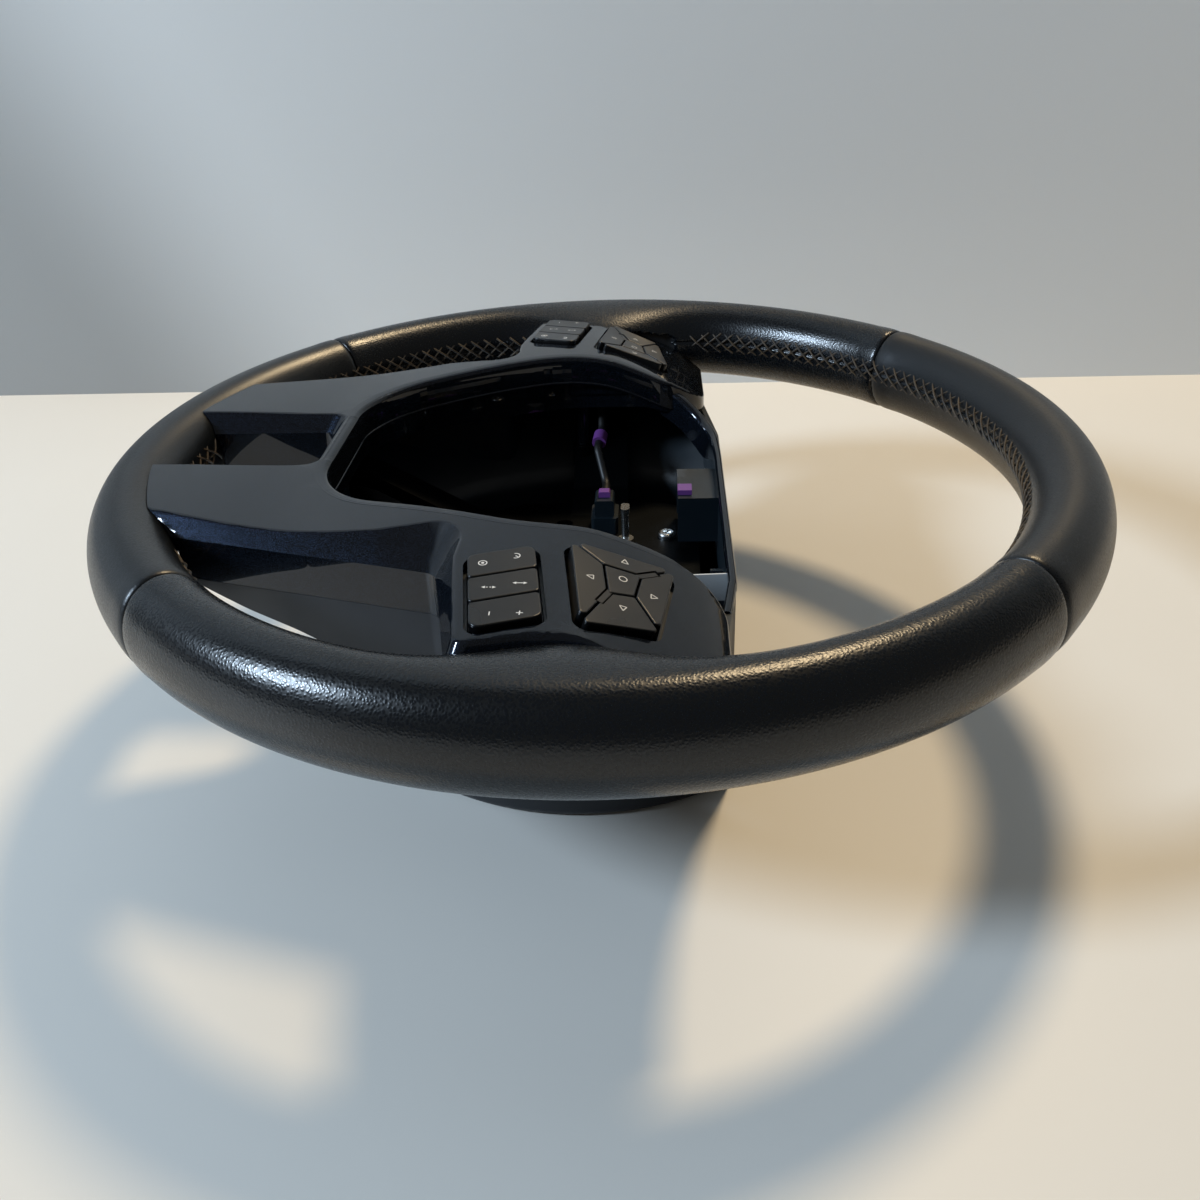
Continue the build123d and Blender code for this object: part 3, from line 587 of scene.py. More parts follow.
@dataclass
class Grip:
    """Leather grip: an oval section swept round the wheel and drawn in to the side spokes."""

    pebbled: bpy.types.Material
    smooth: bpy.types.Material
    half_width: float = 17.5
    flare_depth: float = 24.0
    flare_reach: float = 42.0
    flare_y: float = -4.0
    skin: float = 1.4
    top_seam: float = 50.0
    bottom_seam: float = -48.0
    seam_gap: float = 0.35
    tuck: float = 1.3
    step: float = 2.0
    section_points: int = 112
    stitch_turn: float = 172.0
    swell: float = 0.22
    swell_at: float = 6.0
    swell_reach: float = 5.0
    groove: float = 0.75
    groove_turn: float = 1.5
    cut_margin: float = 1.6
    radius: float = field(init=False)
    height: float = field(init=False)
    half_height: float = field(init=False)

    def __post_init__(self) -> None:
        """Take the rim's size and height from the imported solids."""
        low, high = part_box("leather_top")
        self.radius = high.y / MM - self.half_width
        self.height = (low.z + high.z) / 2 / MM
        self.half_height = (high.z - low.z) / 2 / MM

    def reach(self, angle: float) -> float:
        """How far the grip is drawn in to a spoke.

        Args:
            angle: Place round the wheel, in degrees from 3 o'clock.

        Returns:
            The reach, in millimetres.
        """
        folded = math.degrees(math.asin(math.sin(math.radians(angle))))
        along = math.radians(folded) * self.radius - self.flare_y
        return self.flare_depth * math.exp(-((along / self.flare_reach) ** 2))

    def point(self, angle: float, turn: float, lift: float = 0.0) -> Vector:
        """Point on the leather.

        Args:
            angle: Place round the wheel, in degrees from 3 o'clock.
            turn: Place round the section, in degrees from its outermost point, upwards.
            lift: Height over the leather.

        Returns:
            The point, in millimetres.
        """
        cosine, sine = math.cos(math.radians(turn)), math.sin(math.radians(turn))
        half = self.half_width + (self.reach(angle) if cosine < 0 else 0.0)
        normal = Vector((cosine / half, sine / self.half_height)).normalized()
        out = self.radius + half * cosine + normal.x * lift
        up = self.height + self.half_height * sine + normal.y * lift
        radial = math.radians(angle)
        return Vector((out * math.cos(radial), out * math.sin(radial), up))

    def along(self, start: float, end: float) -> list[float]:
        """Angles of a panel's rows, closer together at its seams.

        Args:
            start: First angle, in degrees.
            end: Last angle, in degrees.

        Returns:
            The angles, in degrees.
        """
        length = math.radians(end - start) * self.radius
        near = [0.0, 0.12, 0.35, 0.7, 1.15, 1.7, 2.4, 3.4]
        count = max(2, round((length - 2 * near[-1]) / self.step))
        middle = [near[-1] + (length - 2 * near[-1]) * i / count for i in range(1, count)]
        rows = near + middle + [length - d for d in reversed(near)]
        return [start + math.degrees(d / self.radius) for d in rows]

    def around(self) -> list[float]:
        """Turns of a panel's columns, closer together at the stitched edge.

        Returns:
            The turns, in degrees.
        """
        even = [360 * i / self.section_points for i in range(self.section_points)]
        fine = [self.stitch_turn + d for d in (-3.0, -1.8, -0.9, 0.0, 0.9, 1.8, 3.0)]
        return sorted([t for t in even if abs(t - self.stitch_turn) > 4.0] + fine)

    def lift(self, from_seam: float, turn: float) -> float:
        """Height of the leather's surface, tucked in at a seam and at the stitched edge.

        Args:
            from_seam: Distance from the nearest seam, in millimetres.
            turn: Place round the section, in degrees.

        Returns:
            The height, in millimetres.
        """
        seam = 0.0
        if from_seam < 2 * self.tuck:
            share = 1 - from_seam / (2 * self.tuck)
            seam = -self.tuck * (1 - math.sqrt(1 - share**2))
        swell = self.swell * math.exp(-(((from_seam - self.swell_at) / self.swell_reach) ** 2))
        edge = -self.groove * math.exp(-(((turn - self.stitch_turn) / self.groove_turn) ** 2))
        return seam + swell + edge

    def panel(
        self, node: str, start: float, end: float, material: bpy.types.Material,
        covered: Callable[[Vector], bool] | None = None,
    ) -> bpy.types.Object:
        """Stretch one leather panel over the grip.

        Args:
            node: Node that the panel stands for.
            start: First angle, in degrees.
            end: Last angle, in degrees.
            material: Finish of the panel.
            covered: Tells a point well inside a spoke, where the leather is cut away. None keeps it whole.

        Returns:
            The panel.
        """
        gap = math.degrees(self.seam_gap / 2 / self.radius)
        rows = self.along(start + gap, end - gap)
        turns = self.around()
        points = []
        for angle in rows:
            from_seam = math.radians(min(angle - rows[0], rows[-1] - angle)) * self.radius
            points += [self.point(angle, turn, self.lift(from_seam, turn)) for turn in turns]
        width = len(turns)
        faces = []
        for row in range(len(rows) - 1):
            for column in range(width):
                after = (column + 1) % width
                first, second = row * width, (row + 1) * width
                face = (first + column, first + after, second + after, second + column)
                middle = sum((points[i] for i in face), Vector()) / 4
                if covered is None or not covered(middle):
                    faces.append(face[::-1])
        piece = make_object(node + "_skin", points, faces, material)
        with edited(piece.data) as work:
            loose = [v for v in work.verts if not v.link_faces]
            bmesh.ops.delete(work, geom=loose, context="VERTS")
        wall = piece.modifiers.new("skin", "SOLIDIFY")
        wall.thickness = self.skin * MM
        wall.offset = -1.0
        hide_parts(node)
        return piece

    def build(self) -> list[bpy.types.Object]:
        """Make the four panels.

        Returns:
            The panels.
        """
        trim = faces_of("front_trim")
        up = Vector((0, 0, 1))
        ring = [Vector((math.cos(a), math.sin(a), 0)) * self.cut_margin for a in (0, 1.57, 3.14, 4.71)]

        def under_trim(place: Vector) -> bool:
            """Whether a point and its surroundings lie under the front trim."""
            foot = Vector((place.x, place.y, 0))
            return all(trim.ray_cast((foot + shift) * MM, up)[0] is not None for shift in ring)

        spans = {
            "leather_right": (self.bottom_seam, self.top_seam, self.pebbled, under_trim),
            "leather_top": (self.top_seam, 180 - self.top_seam, self.smooth),
            "leather_left": (180 - self.top_seam, 180 - self.bottom_seam, self.pebbled, under_trim),
            "leather_bottom": (180 - self.bottom_seam, 360 + self.bottom_seam, self.smooth),
        }
        return [self.panel(node, *span) for node, span in spans.items()]


@dataclass
class CrossStitch:
    """Bronze cross stitching that draws the leather's edges together along the inside of the rim."""

    grip: Grip
    material: bpy.types.Material
    pitch: float = 7.4
    width: float = 11.0
    thread: float = 0.48
    rise: float = 0.42
    advance: float = 0.92
    sink: float = 1.0
    over: float = 1.7
    thread_sides: int = 8
    strand_steps: int = 10
    spans: tuple[tuple[float, float], ...] = (
        (16.0, 164.0), (194.5, 239.0), (264.5, 275.5), (301.0, 345.5),
    )

    def path(self) -> bpy.types.Object:
        """Line of the stitching, with the leather's outward direction stored on it.

        Returns:
            The line, as a mesh of edges.
        """
        points: list[Vector] = []
        edges: list[tuple[int, int]] = []
        lifts: list[Vector] = []
        for start, end in self.spans:
            count = round(end - start) * 2
            for i in range(count + 1):
                angle = start + (end - start) * i / count
                low = self.grip.point(angle, self.grip.stitch_turn)
                high = self.grip.point(angle, self.grip.stitch_turn, 1.0)
                if i:
                    edges.append((len(points) - 1, len(points)))
                points.append(low)
                lifts.append(high - low)
        mesh = bpy.data.meshes.new("cross_stitch")
        mesh.from_pydata([tuple(p * MM) for p in points], edges, [])
        store = mesh.attributes.new("outward", "FLOAT_VECTOR", "POINT")
        store.data.foreach_set("vector", [c for lift in lifts for c in lift])
        return add_object("cross_stitch", mesh)

    def tree(self) -> tuple[bpy.types.NodeTree, dict[str, str]]:
        """Build the node tree that lays crossed strands along a line.

        Returns:
            The tree, and its named inputs' identifiers.
        """
        tree = bpy.data.node_groups.new("cross_stitching", "GeometryNodeTree")
        tree.interface.new_socket("Geometry", in_out="INPUT", socket_type="NodeSocketGeometry")
        names = ("Pitch", "Half Advance", "Half Width", "Thread Radius", "Rise", "Sink")
        keys = {
            name: tree.interface.new_socket(name, in_out="INPUT", socket_type="NodeSocketFloat").identifier
            for name in names
        }
        tree.interface.new_socket("Geometry", in_out="OUTPUT", socket_type="NodeSocketGeometry")
        source = add_node(tree, "NodeGroupInput").outputs
        line = add_node(tree, "GeometryNodeMeshToCurve", {0: source["Geometry"]})
        spaced = add_node(
            tree, "GeometryNodeResampleCurve", {"Curve": line.outputs[0], "Length": source["Pitch"]},
            mode="LENGTH",
        )
        profile = add_node(
            tree, "GeometryNodeCurvePrimitiveCircle",
            {"Resolution": self.thread_sides, "Radius": source["Thread Radius"]},
        )
        strands = []
        for turn, layer in ((1.0, 0.0), (-1.0, self.over)):
            across = add_node(
                tree, "ShaderNodeMath", {0: source["Half Width"], 1: turn}, operation="MULTIPLY"
            ).outputs[0]
            back, behind, deep = (
                add_node(tree, "ShaderNodeMath", {0: ahead, 1: -1.0}, operation="MULTIPLY").outputs[0]
                for ahead in (source["Half Advance"], across, source["Sink"])
            )
            crest = add_node(
                tree, "ShaderNodeMath", {0: source["Thread Radius"], 1: layer, 2: source["Rise"]},
                operation="MULTIPLY_ADD",
            )
            control = add_node(
                tree, "ShaderNodeMath", {0: crest.outputs[0], 1: 2.0, 2: source["Sink"]},
                operation="MULTIPLY_ADD",
            )
            start = add_node(tree, "ShaderNodeCombineXYZ", {0: back, 1: behind, 2: deep})
            middle = add_node(tree, "ShaderNodeCombineXYZ", {2: control.outputs[0]})
            end = add_node(tree, "ShaderNodeCombineXYZ", {0: source["Half Advance"], 1: across, 2: deep})
            strand = add_node(
                tree, "GeometryNodeCurveQuadraticBezier",
                {"Resolution": self.strand_steps, "Start": start.outputs[0], "Middle": middle.outputs[0],
                 "End": end.outputs[0]},
            )
            tube = add_node(
                tree, "GeometryNodeCurveToMesh",
                {"Curve": strand.outputs[0], "Profile Curve": profile.outputs[0], "Fill Caps": True},
            )
            strands.append(tube.outputs[0])
        stitch = add_node(tree, "GeometryNodeJoinGeometry")
        for strand_mesh in strands:
            tree.links.new(strand_mesh, stitch.inputs[0])
        tangent = add_node(tree, "GeometryNodeInputTangent")
        outward = add_node(
            tree, "GeometryNodeInputNamedAttribute", {"Name": "outward"}, data_type="FLOAT_VECTOR"
        )
        facing = add_node(
            tree, "FunctionNodeAxesToRotation",
            {"Primary Axis": outward.outputs[0], "Secondary Axis": tangent.outputs[0]},
            primary_axis="Z", secondary_axis="X",
        )
        laid = add_node(
            tree, "GeometryNodeInstanceOnPoints",
            {"Points": spaced.outputs[0], "Instance": stitch.outputs[0], "Rotation": facing.outputs[0]},
        )
        real = add_node(tree, "GeometryNodeRealizeInstances", {0: laid.outputs[0]})
        round_shaded = add_node(tree, "GeometryNodeSetShadeSmooth", {0: real.outputs[0]})
        dressed = add_node(
            tree, "GeometryNodeSetMaterial", {"Geometry": round_shaded.outputs[0], "Material": self.material}
        )
        add_node(tree, "NodeGroupOutput", {0: dressed.outputs[0]})
        return tree, keys

    def build(self) -> bpy.types.Object:
        """Lay the stitches and keep them as a plain mesh.

        Returns:
            The stitching.
        """
        line = self.path()
        tree, keys = self.tree()
        sewing = line.modifiers.new("sewing", "NODES")
        sewing.node_group = tree
        values = {
            "Pitch": self.pitch, "Half Advance": self.advance * self.pitch, "Half Width": self.width / 2,
            "Thread Radius": self.thread, "Rise": self.rise, "Sink": self.sink,
        }
        for name, value in values.items():
            sewing[keys[name]] = value * MM
        graph = bpy.context.evaluated_depsgraph_get()
        mesh = bpy.data.meshes.new_from_object(line.evaluated_get(graph))
        line.modifiers.clear()
        line.data = mesh
        return line


Stroke = list[tuple[float, float]]


def straight(start: tuple[float, float], end: tuple[float, float], width: float) -> Stroke:
    """Corners of a straight stroke between two places.

    Args:
        start: First place.
        end: Last place.
        width: Width of the stroke.

    Returns:
        The corners, in millimetres.
    """
    along = Vector((end[0] - start[0], end[1] - start[1])).normalized() * width / 2
    return [
        (start[0] + along.y, start[1] - along.x), (end[0] + along.y, end[1] - along.x),
        (end[0] - along.y, end[1] + along.x), (start[0] - along.y, start[1] + along.x),
    ]


def curved(radius: float, start: float, end: float, width: float, steps: int = 20) -> list[Stroke]:
    """Strokes that follow an arc between two angles in degrees.

    Args:
        radius: Radius of the arc.
        start: First angle.
        end: Last angle.
        width: Width of the strokes.
        steps: Number of strokes.

    Returns:
        The strokes' corners, in millimetres.
    """
    angles = [math.radians(start + (end - start) * i / steps) for i in range(steps + 1)]
    low, high = radius - width / 2, radius + width / 2
    strokes = []
    for first, second in zip(angles, angles[1:]):
        corners = ((low, first), (high, first), (high, second), (low, second))
        strokes.append([(out * math.cos(angle), out * math.sin(angle)) for out, angle in corners])
    return strokes


class Glyph(Enum):
    """Generic symbols of the keys, drawn upright about their middle in millimetres."""

    TRIANGLE = "triangle"
    RING = "ring"
    ARROWS = "arrows"
    BROKEN_ARROWS = "broken arrows"
    PLUS = "plus"
    MINUS = "minus"
    GAUGE = "gauge"
    SPOT = "spot"

    def strokes(self, width: float) -> list[Stroke]:
        """Flat convex pieces of the symbol, drawn with strokes of a width.

        Args:
            width: Width of the strokes, in millimetres.

        Returns:
            The pieces' corners, in millimetres.
        """
        if self is Glyph.TRIANGLE:
            corners = [(0.0, 1.5), (-1.35, -1.1), (1.35, -1.1)]
            return [straight(a, b, width) for a, b in zip(corners, corners[1:] + corners[:1])]
        if self is Glyph.RING:
            return curved(1.5, 0, 360, width, 32)
        if self is Glyph.PLUS:
            return [straight((-1.2, 0), (1.2, 0), width), straight((0, -1.2), (0, 1.2), width)]
        if self is Glyph.MINUS:
            return [straight((-1.1, 0), (1.1, 0), width)]
        if self is Glyph.GAUGE:
            return curved(1.6, -20, 200, width) + [straight((0, 0), (0.8, 1.0), width)]
        if self is Glyph.SPOT:
            return curved(1.5, 0, 360, width, 32) + curved(0.3, 0, 360, 0.6, 16)
        heads = [[(0.0, 2.6), (-0.75, 1.3), (0.75, 1.3)], [(0.0, -2.6), (0.75, -1.3), (-0.75, -1.3)]]
        if self is Glyph.ARROWS:
            return heads + [straight((0, -1.4), (0, 1.4), width)]
        return heads + [straight((0, middle - 0.35), (0, middle + 0.35), width) for middle in (-0.65, 0.65)]


@dataclass(frozen=True)
class Legend:
    """One printed symbol: its key, its place in plan on the right-hand arm, and its turn in degrees."""

    key: str
    glyph: Glyph
    x: float
    y: float
    turn: float = 0.0


@dataclass
class Legends:
    """White symbols printed on the keys of one side."""

    side: Side
    ink: bpy.types.Material
    film: float = 0.03
    bite: float = 0.02
    stroke: float = 0.4
    above: float = 300.0
    places: tuple[Legend, ...] = (
        Legend("hub_key", Glyph.TRIANGLE, 122.0, 15.4, 90.0),
        Legend("down_key", Glyph.TRIANGLE, 139.1, 3.6, 180.0),
        Legend("rim_key", Glyph.TRIANGLE, 152.7, 15.4, 270.0),
        Legend("up_key", Glyph.TRIANGLE, 139.6, 26.1),
        Legend("ok_key", Glyph.RING, 134.1, 15.0),
        Legend("inner_rocker", Glyph.SPOT, 134.7, -35.4),
        Legend("inner_rocker", Glyph.GAUGE, 129.6, -24.0),
        Legend("middle_rocker", Glyph.BROKEN_ARROWS, 150.5, -31.4),
        Legend("middle_rocker", Glyph.ARROWS, 147.6, -20.7),
        Legend("outer_rocker", Glyph.MINUS, 166.6, -29.3),
        Legend("outer_rocker", Glyph.PLUS, 166.0, -19.1),
    )

    def print_on(self, tree: BVHTree, legend: Legend) -> tuple[list[Vector], list[list[int]]]:
        """Lay one symbol on a key's face.

        Args:
            tree: Faces of the key.
            legend: Symbol and place.

        Returns:
            Points in millimetres, and faces.
        """
        sign = self.side.value
        above = Vector((sign * legend.x, legend.y, self.above)) * MM
        hit, out, _, _ = tree.ray_cast(above, Vector((0, 0, -1)))
        up = Vector((0, 1, 0))
        up = (up - out * up.dot(out)).normalized()
        across = up.cross(out)
        turn = math.radians(legend.turn * sign)
        points: list[Vector] = []
        faces: list[list[int]] = []
        for stroke in legend.glyph.strokes(self.stroke):
            first, count = len(points), len(stroke)
            for level in (-self.bite, self.film):
                for u, v in stroke:
                    right = u * math.cos(turn) - v * math.sin(turn)
                    ahead = u * math.sin(turn) + v * math.cos(turn)
                    points.append(hit / MM + across * right + up * ahead + out * level)
            low, high = range(first, first + count), range(first + count, first + 2 * count)
            faces += [list(reversed(low)), list(high)]
            faces += [
                [low[i], low[(i + 1) % count], high[(i + 1) % count], high[i]] for i in range(count)
            ]
        return points, faces

    def build(self) -> list[bpy.types.Object]:
        """Print every symbol of the side, one piece per key.

        Returns:
            The printed pieces.
        """
        pieces = []
        for key in dict.fromkeys(legend.key for legend in self.places):
            node = f"{self.side.word}_{key}"
            tree = faces_of(node)
            points: list[Vector] = []
            faces: list[list[int]] = []
            for legend in self.places:
                if legend.key == key:
                    more, sides = self.print_on(tree, legend)
                    faces += [[i + len(points) for i in face] for face in sides]
                    points += more
            piece = make_object(node + "_legend", points, faces, self.ink)
            piece.data.polygons.foreach_set("use_smooth", [False] * len(faces))
            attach(piece, node + "_body")
            pieces.append(piece)
        return pieces


@dataclass
class RearCover:
    """Rear cover with rounded edges, slate outside and black inside the bay: the black is partly the inside's
    own dark plastic and partly painted shade of the bay.
    """

    outside: bpy.types.Material
    inside: bpy.types.Material
    rounding: float = 0.6
    floor: float = 3.5
    middle: tuple[float, float] = (0.0, -9.0)
    bay_reach: float = 150.0
    inward_share: float = 0.2
    upward_share: float = 0.3

    def build(self) -> bpy.types.Object:
        """Round the moulding's edges and give the faces that look into the bay the darker black plastic,
        partly as painted shade.

        Returns:
            The moulding.
        """
        piece = softened_copy("rear_cover", "rear_cover_moulding", self.outside, self.rounding)
        piece.data.materials.append(self.inside)
        middle = Vector((*self.middle, 0)) * MM
        # Painted shade in part: faces turned into the bay and faces looking up inside it take the darker
        # black plastic.
        for face in piece.data.polygons:
            out = Vector(face.center) - middle
            out.z = 0
            inward = face.normal.dot(out) < -self.inward_share * out.length
            raised = face.center.z > self.floor * MM
            upward = face.normal.z > self.upward_share and out.length < self.bay_reach * MM
            face.material_index = int(inward and raised or upward)
        return piece


@dataclass
class BayLip:
    """Rolled lip round the airbag bay: it rounds off the face, leans into the bay and ends in a bead."""

    material: bpy.types.Material
    centre: tuple[float, float] = (0.0, -30.0)
    sweep: tuple[float, float] = (142.0, 398.0)
    look_height: float = 117.0
    step: float = 1.5
    flange: float = 2.6
    roll: float = 2.6
    lean: float = 2.4
    depth: float = 13.5
    bead: float = 0.8
    bead_shape: tuple[tuple[float, float], ...] = ((0.0, 0.0), (0.45, 0.3), (0.6, 1.0), (0.3, 1.7))
    bead_foot: float = 2.2
    buried: float = 0.7
    overlap: float = 0.6
    proud: float = 0.03
    thick: float = 0.5
    fade: float = 16.0
    least: float = 0.25
    looks: int = 1400
    steepest: float = 0.2
    above: float = 300.0

    def outline(self) -> list[tuple[Vector, Vector]]:
        """Places along the bay's wall, with the direction away from the bay.

        Returns:
            Pairs of a place, in millimetres, and a direction.
        """
        trim = faces_of("front_trim")
        middle = Vector((*self.centre, self.look_height))
        places: list[tuple[Vector, Vector]] = []
        start, end = self.sweep
        for i in range(self.looks + 1):
            angle = math.radians(start + (end - start) * i / self.looks)
            hit, out, _, _ = trim.ray_cast(middle * MM, Vector((math.cos(angle), math.sin(angle), 0)))
            if hit is None or abs(out.z) > self.steepest:
                continue
            away = Vector((-out.x, -out.y, 0)).normalized()
            place = Vector((hit.x, hit.y, 0)) / MM
            if places and (place - places[-1][0]).length < self.step:
                continue
            over = place + away * self.flange + Vector((0, 0, self.above))
            top = trim.ray_cast(over * MM, Vector((0, 0, -1)))[0]
            place.z = top.z / MM
            places.append((place, away))
        return places

    def profile(self, share: float) -> list[tuple[float, float]]:
        """Outline of the lip's section: distance away from the bay, and height over the face.

        Args:
            share: How far the lip stands out, from 0 to 1.

        Returns:
            The section's corners, in order.
        """
        arc = [math.radians(90 + 10 * i) for i in range(9)]
        radius = self.roll * share
        roll = [(self.flange - radius + radius * math.cos(a), -radius + radius * math.sin(a)) for a in arc]
        low = -self.depth
        inward = -self.lean * share
        bead = [(inward - x * self.bead * share, low - y * self.bead) for x, y in self.bead_shape]
        foot = [(self.buried, low - self.bead_foot * self.bead), (self.buried, -self.roll)]
        outside = self.flange + self.overlap
        return [(outside, self.proud)] + roll + bead + foot + [(outside, -self.thick)]

    def build(self) -> bpy.types.Object:
        """Sweep the section along the bay's wall.

        Returns:
            The lip.
        """
        places = self.outline()
        runs = [0.0]
        for (first, _), (second, _) in zip(places, places[1:]):
            runs.append(runs[-1] + (second - first).length)
        sections: list[list[Vector]] = []
        for (place, away), run in zip(places, runs):
            near_end = min(run, runs[-1] - run, self.fade) / self.fade
            share = self.least + (1 - self.least) * math.sin(near_end * math.pi / 2)
            sections.append([place + away * out + Vector((0, 0, up)) for out, up in self.profile(share)])
        return swept_solid("bay_lip", sections, self.material)


@dataclass
class WallCap:
    """Rolled edge along the top of the 12 o'clock wall. At the left arm it climbs to the bay's lip."""

    material: bpy.types.Material
    corners: tuple[tuple[float, float, float], ...] = (
        (-114.0, 24.0, 119.0), (-110.0, 32.0, 118.0), (-104.0, 41.0, 113.5), (-97.5, 49.0, 107.5),
        (-89.0, 54.8, 103.0), (-78.0, 58.0, 100.6), (-60.0, 58.8, 99.9), (-20.0, 58.8, 99.9),
        (40.0, 58.8, 99.9), (76.0, 58.8, 99.9), (84.0, 58.0, 99.9), (106.0, 55.0, 99.9), (118.0, 53.4, 99.9),
    )
    steps: int = 10
    thin: tuple[float, float] = (1.9, 5.0)
    broad: tuple[float, float] = (3.1, 17.0)
    blend: tuple[float, float] = (-90.0, -50.0)
    outside: float = 1.5

    def line(self) -> list[Vector]:
        """Points along the wall's top, smooth through the corners.

        Returns:
            The points, in millimetres.
        """
        corners = [Vector(c) for c in self.corners]
        points: list[Vector] = []
        for i in range(1, len(corners) - 2):
            a, b, c, d = corners[i - 1:i + 3]
            for k in range(self.steps):
                t = k / self.steps
                bend, twist = 2 * a - 5 * b + 4 * c - d, 3 * b - a - 3 * c + d
                points.append(0.5 * (2 * b + (c - a) * t + bend * t**2 + twist * t**3))
        return points + [corners[-2]]

    def section(self, share: float) -> list[tuple[float, float]]:
        """Outline across the edge: distance away from the bay, and height over the line.

        Args:
            share: 0 on the plain wall, 1 at the left arm.

        Returns:
            The section's corners, in order.
        """
        radius, depth = (a + (b - a) * share for a, b in zip(self.thin, self.broad))
        arc = [math.radians(15 * i) for i in range(13)]
        roll = [(self.outside - radius + radius * math.cos(a), radius * math.sin(a) - radius) for a in arc]
        inside = self.outside - 2 * radius
        foot = [(inside - 0.6 * share, -0.6 * depth), (inside - 0.4 * share, -depth), (self.outside, -depth)]
        return roll + foot

    def build(self) -> bpy.types.Object:
        """Sweep the section along the line.

        Returns:
            The edge.
        """
        line = self.line()
        low, high = self.blend
        sections: list[list[Vector]] = []
        for i, place in enumerate(line):
            run = line[min(i + 1, len(line) - 1)] - line[max(i - 1, 0)]
            away = Vector((-run.y, run.x, 0)).normalized()
            part = min(max((high - place.x) / (high - low), 0.0), 1.0)
            share = part * part * (3 - 2 * part)
            sections.append([place + away * out + Vector((0, 0, up)) for out, up in self.section(share)])
        return swept_solid("wall_cap", sections, self.material)


@dataclass
class Studio:
    """Pale table, wall, lights and the camera at the photograph's place."""

    camera_at: tuple[float, float, float] = (499.4, 28.2, 333.2)
    camera_right: tuple[float, float, float] = (-0.04077, 0.99863, -0.0328)
    camera_down: tuple[float, float, float] = (0.50144, -0.00795, -0.86515)
    lens: float = 34.68
    table_edge: float = -440.0
    table_reach: float = 12000.0
    wall_reach: float = 4000.0
    unevenness_mm: float = 400.0
    deep_light: float = 0.94
    shade_tone: str = "#4c4a46"
    shade: float = 0.55
    shade_slope: float = 0.53
    shade_span: tuple[float, float] = (-430.0, -170.0)
    aim: tuple[float, float, float] = (0.0, 0.0, 80.0)
    glow_tone: str = "#e4e4e2"
    glow: float = 0.14

    def camera(self) -> None:
        """Place the camera."""
        right = Vector(self.camera_right).normalized()
        up = -Vector(self.camera_down)
        up = (up - right * up.dot(right)).normalized()
        back = right.cross(up)
        data = bpy.data.cameras.new("camera")
        data.lens = self.lens
        data.sensor_width = 36.0
        data.sensor_fit = "HORIZONTAL"
        data.clip_start = 0.01
        lens = add_object("camera", data)
        turn = Matrix((right, up, back)).transposed().to_4x4()
        lens.matrix_world = Matrix.Translation(Vector(self.camera_at) * MM) @ turn
        bpy.context.scene.camera = lens

    def surface(
        self, name: str, corners: Sequence[tuple[float, float, float]], tone: str, roughness: float
    ) -> bpy.types.Object:
        """Add a flat stage surface with a soft unevenness of tone.

        Args:
            name: Name of the surface.
            corners: Corners, in millimetres.
            tone: Colour.
            roughness: Roughness.

        Returns:
            The surface.
        """
        material, tree, shader, place = start_material(name, Roughness=roughness)
        slow = add_node(
            tree, "ShaderNodeTexNoise",
            {"Vector": place, "Scale": per_metre(self.unevenness_mm), "Detail": 2.0},
        )
        tint = add_node(
            tree, "ShaderNodeMix",
            {0: slow.outputs["Fac"], 6: colour(tone, self.deep_light), 7: colour(tone)}, data_type="RGBA",
        )
        tree.links.new(tint.outputs[2], shader.inputs["Base Color"])
        plane = make_object(name, [Vector(c) for c in corners], [range(len(corners))], material)
        return plane

    def wall(self) -> None:
        """Add the wall behind the table, with painted shade at its left: it casts no shadow and is clear from
        behind.
        """
        edge, far = self.table_edge, self.wall_reach
        plane = self.surface(
            "wall", [(edge, -far, 0), (edge, far, 0), (edge, far, far), (edge, -far, far)], "#dddddb",
            roughness=0.8,
        )
        plane.visible_shadow = False
        tree = plane.data.materials[0].node_tree
        shader = tree.nodes["Principled BSDF"]
        place = add_node(tree, "ShaderNodeTexCoord").outputs["Object"]
        slope = (0.0, 1.0, self.shade_slope)
        slant = add_node(tree, "ShaderNodeVectorMath", {0: place, 1: slope}, operation="DOT_PRODUCT")
        # Painted shade: a soft diagonal darkening of the wall's colour towards its left.
        shade = add_node(
            tree, "ShaderNodeMapRange",
            {"Value": slant.outputs["Value"], "From Min": self.shade_span[0] * MM,
             "From Max": self.shade_span[1] * MM, "To Min": self.shade, "To Max": 0.0},
            interpolation_type="SMOOTHSTEP",
        )
        lit = shader.inputs["Base Color"].links[0].from_socket
        dark = colour(self.shade_tone)
        toned = add_node(tree, "ShaderNodeMix", {0: shade.outputs[0], 6: lit, 7: dark}, data_type="RGBA")
        tree.links.new(toned.outputs[2], shader.inputs["Base Color"])
        behind = add_node(tree, "ShaderNodeNewGeometry").outputs["Backfacing"]
        clear = add_node(tree, "ShaderNodeBsdfTransparent").outputs[0]
        shown = add_node(tree, "ShaderNodeMixShader", {0: behind, 1: shader.outputs[0], 2: clear})
        tree.links.new(shown.outputs[0], tree.nodes["Material Output"].inputs["Surface"])

    def lamp(self, name: str, at: tuple[float, float, float], size: float, watts: float, tone: str) -> None:
        """Add a soft round lamp that faces the wheel.

        Args:
            name: Name of the lamp.
            at: Place, in millimetres.
            size: Diameter, in millimetres.
            watts: Power.
            tone: Colour of its light.
        """
        data = bpy.data.lights.new(name, "AREA")
        data.shape = "DISK"
        data.size = size * MM
        data.energy = watts
        data.color = colour(tone)[:3]
        lamp = add_object(name, data)
        lamp.location = Vector(at) * MM
        lamp.rotation_euler = (Vector(self.aim) - Vector(at)).to_track_quat("-Z", "Y").to_euler()

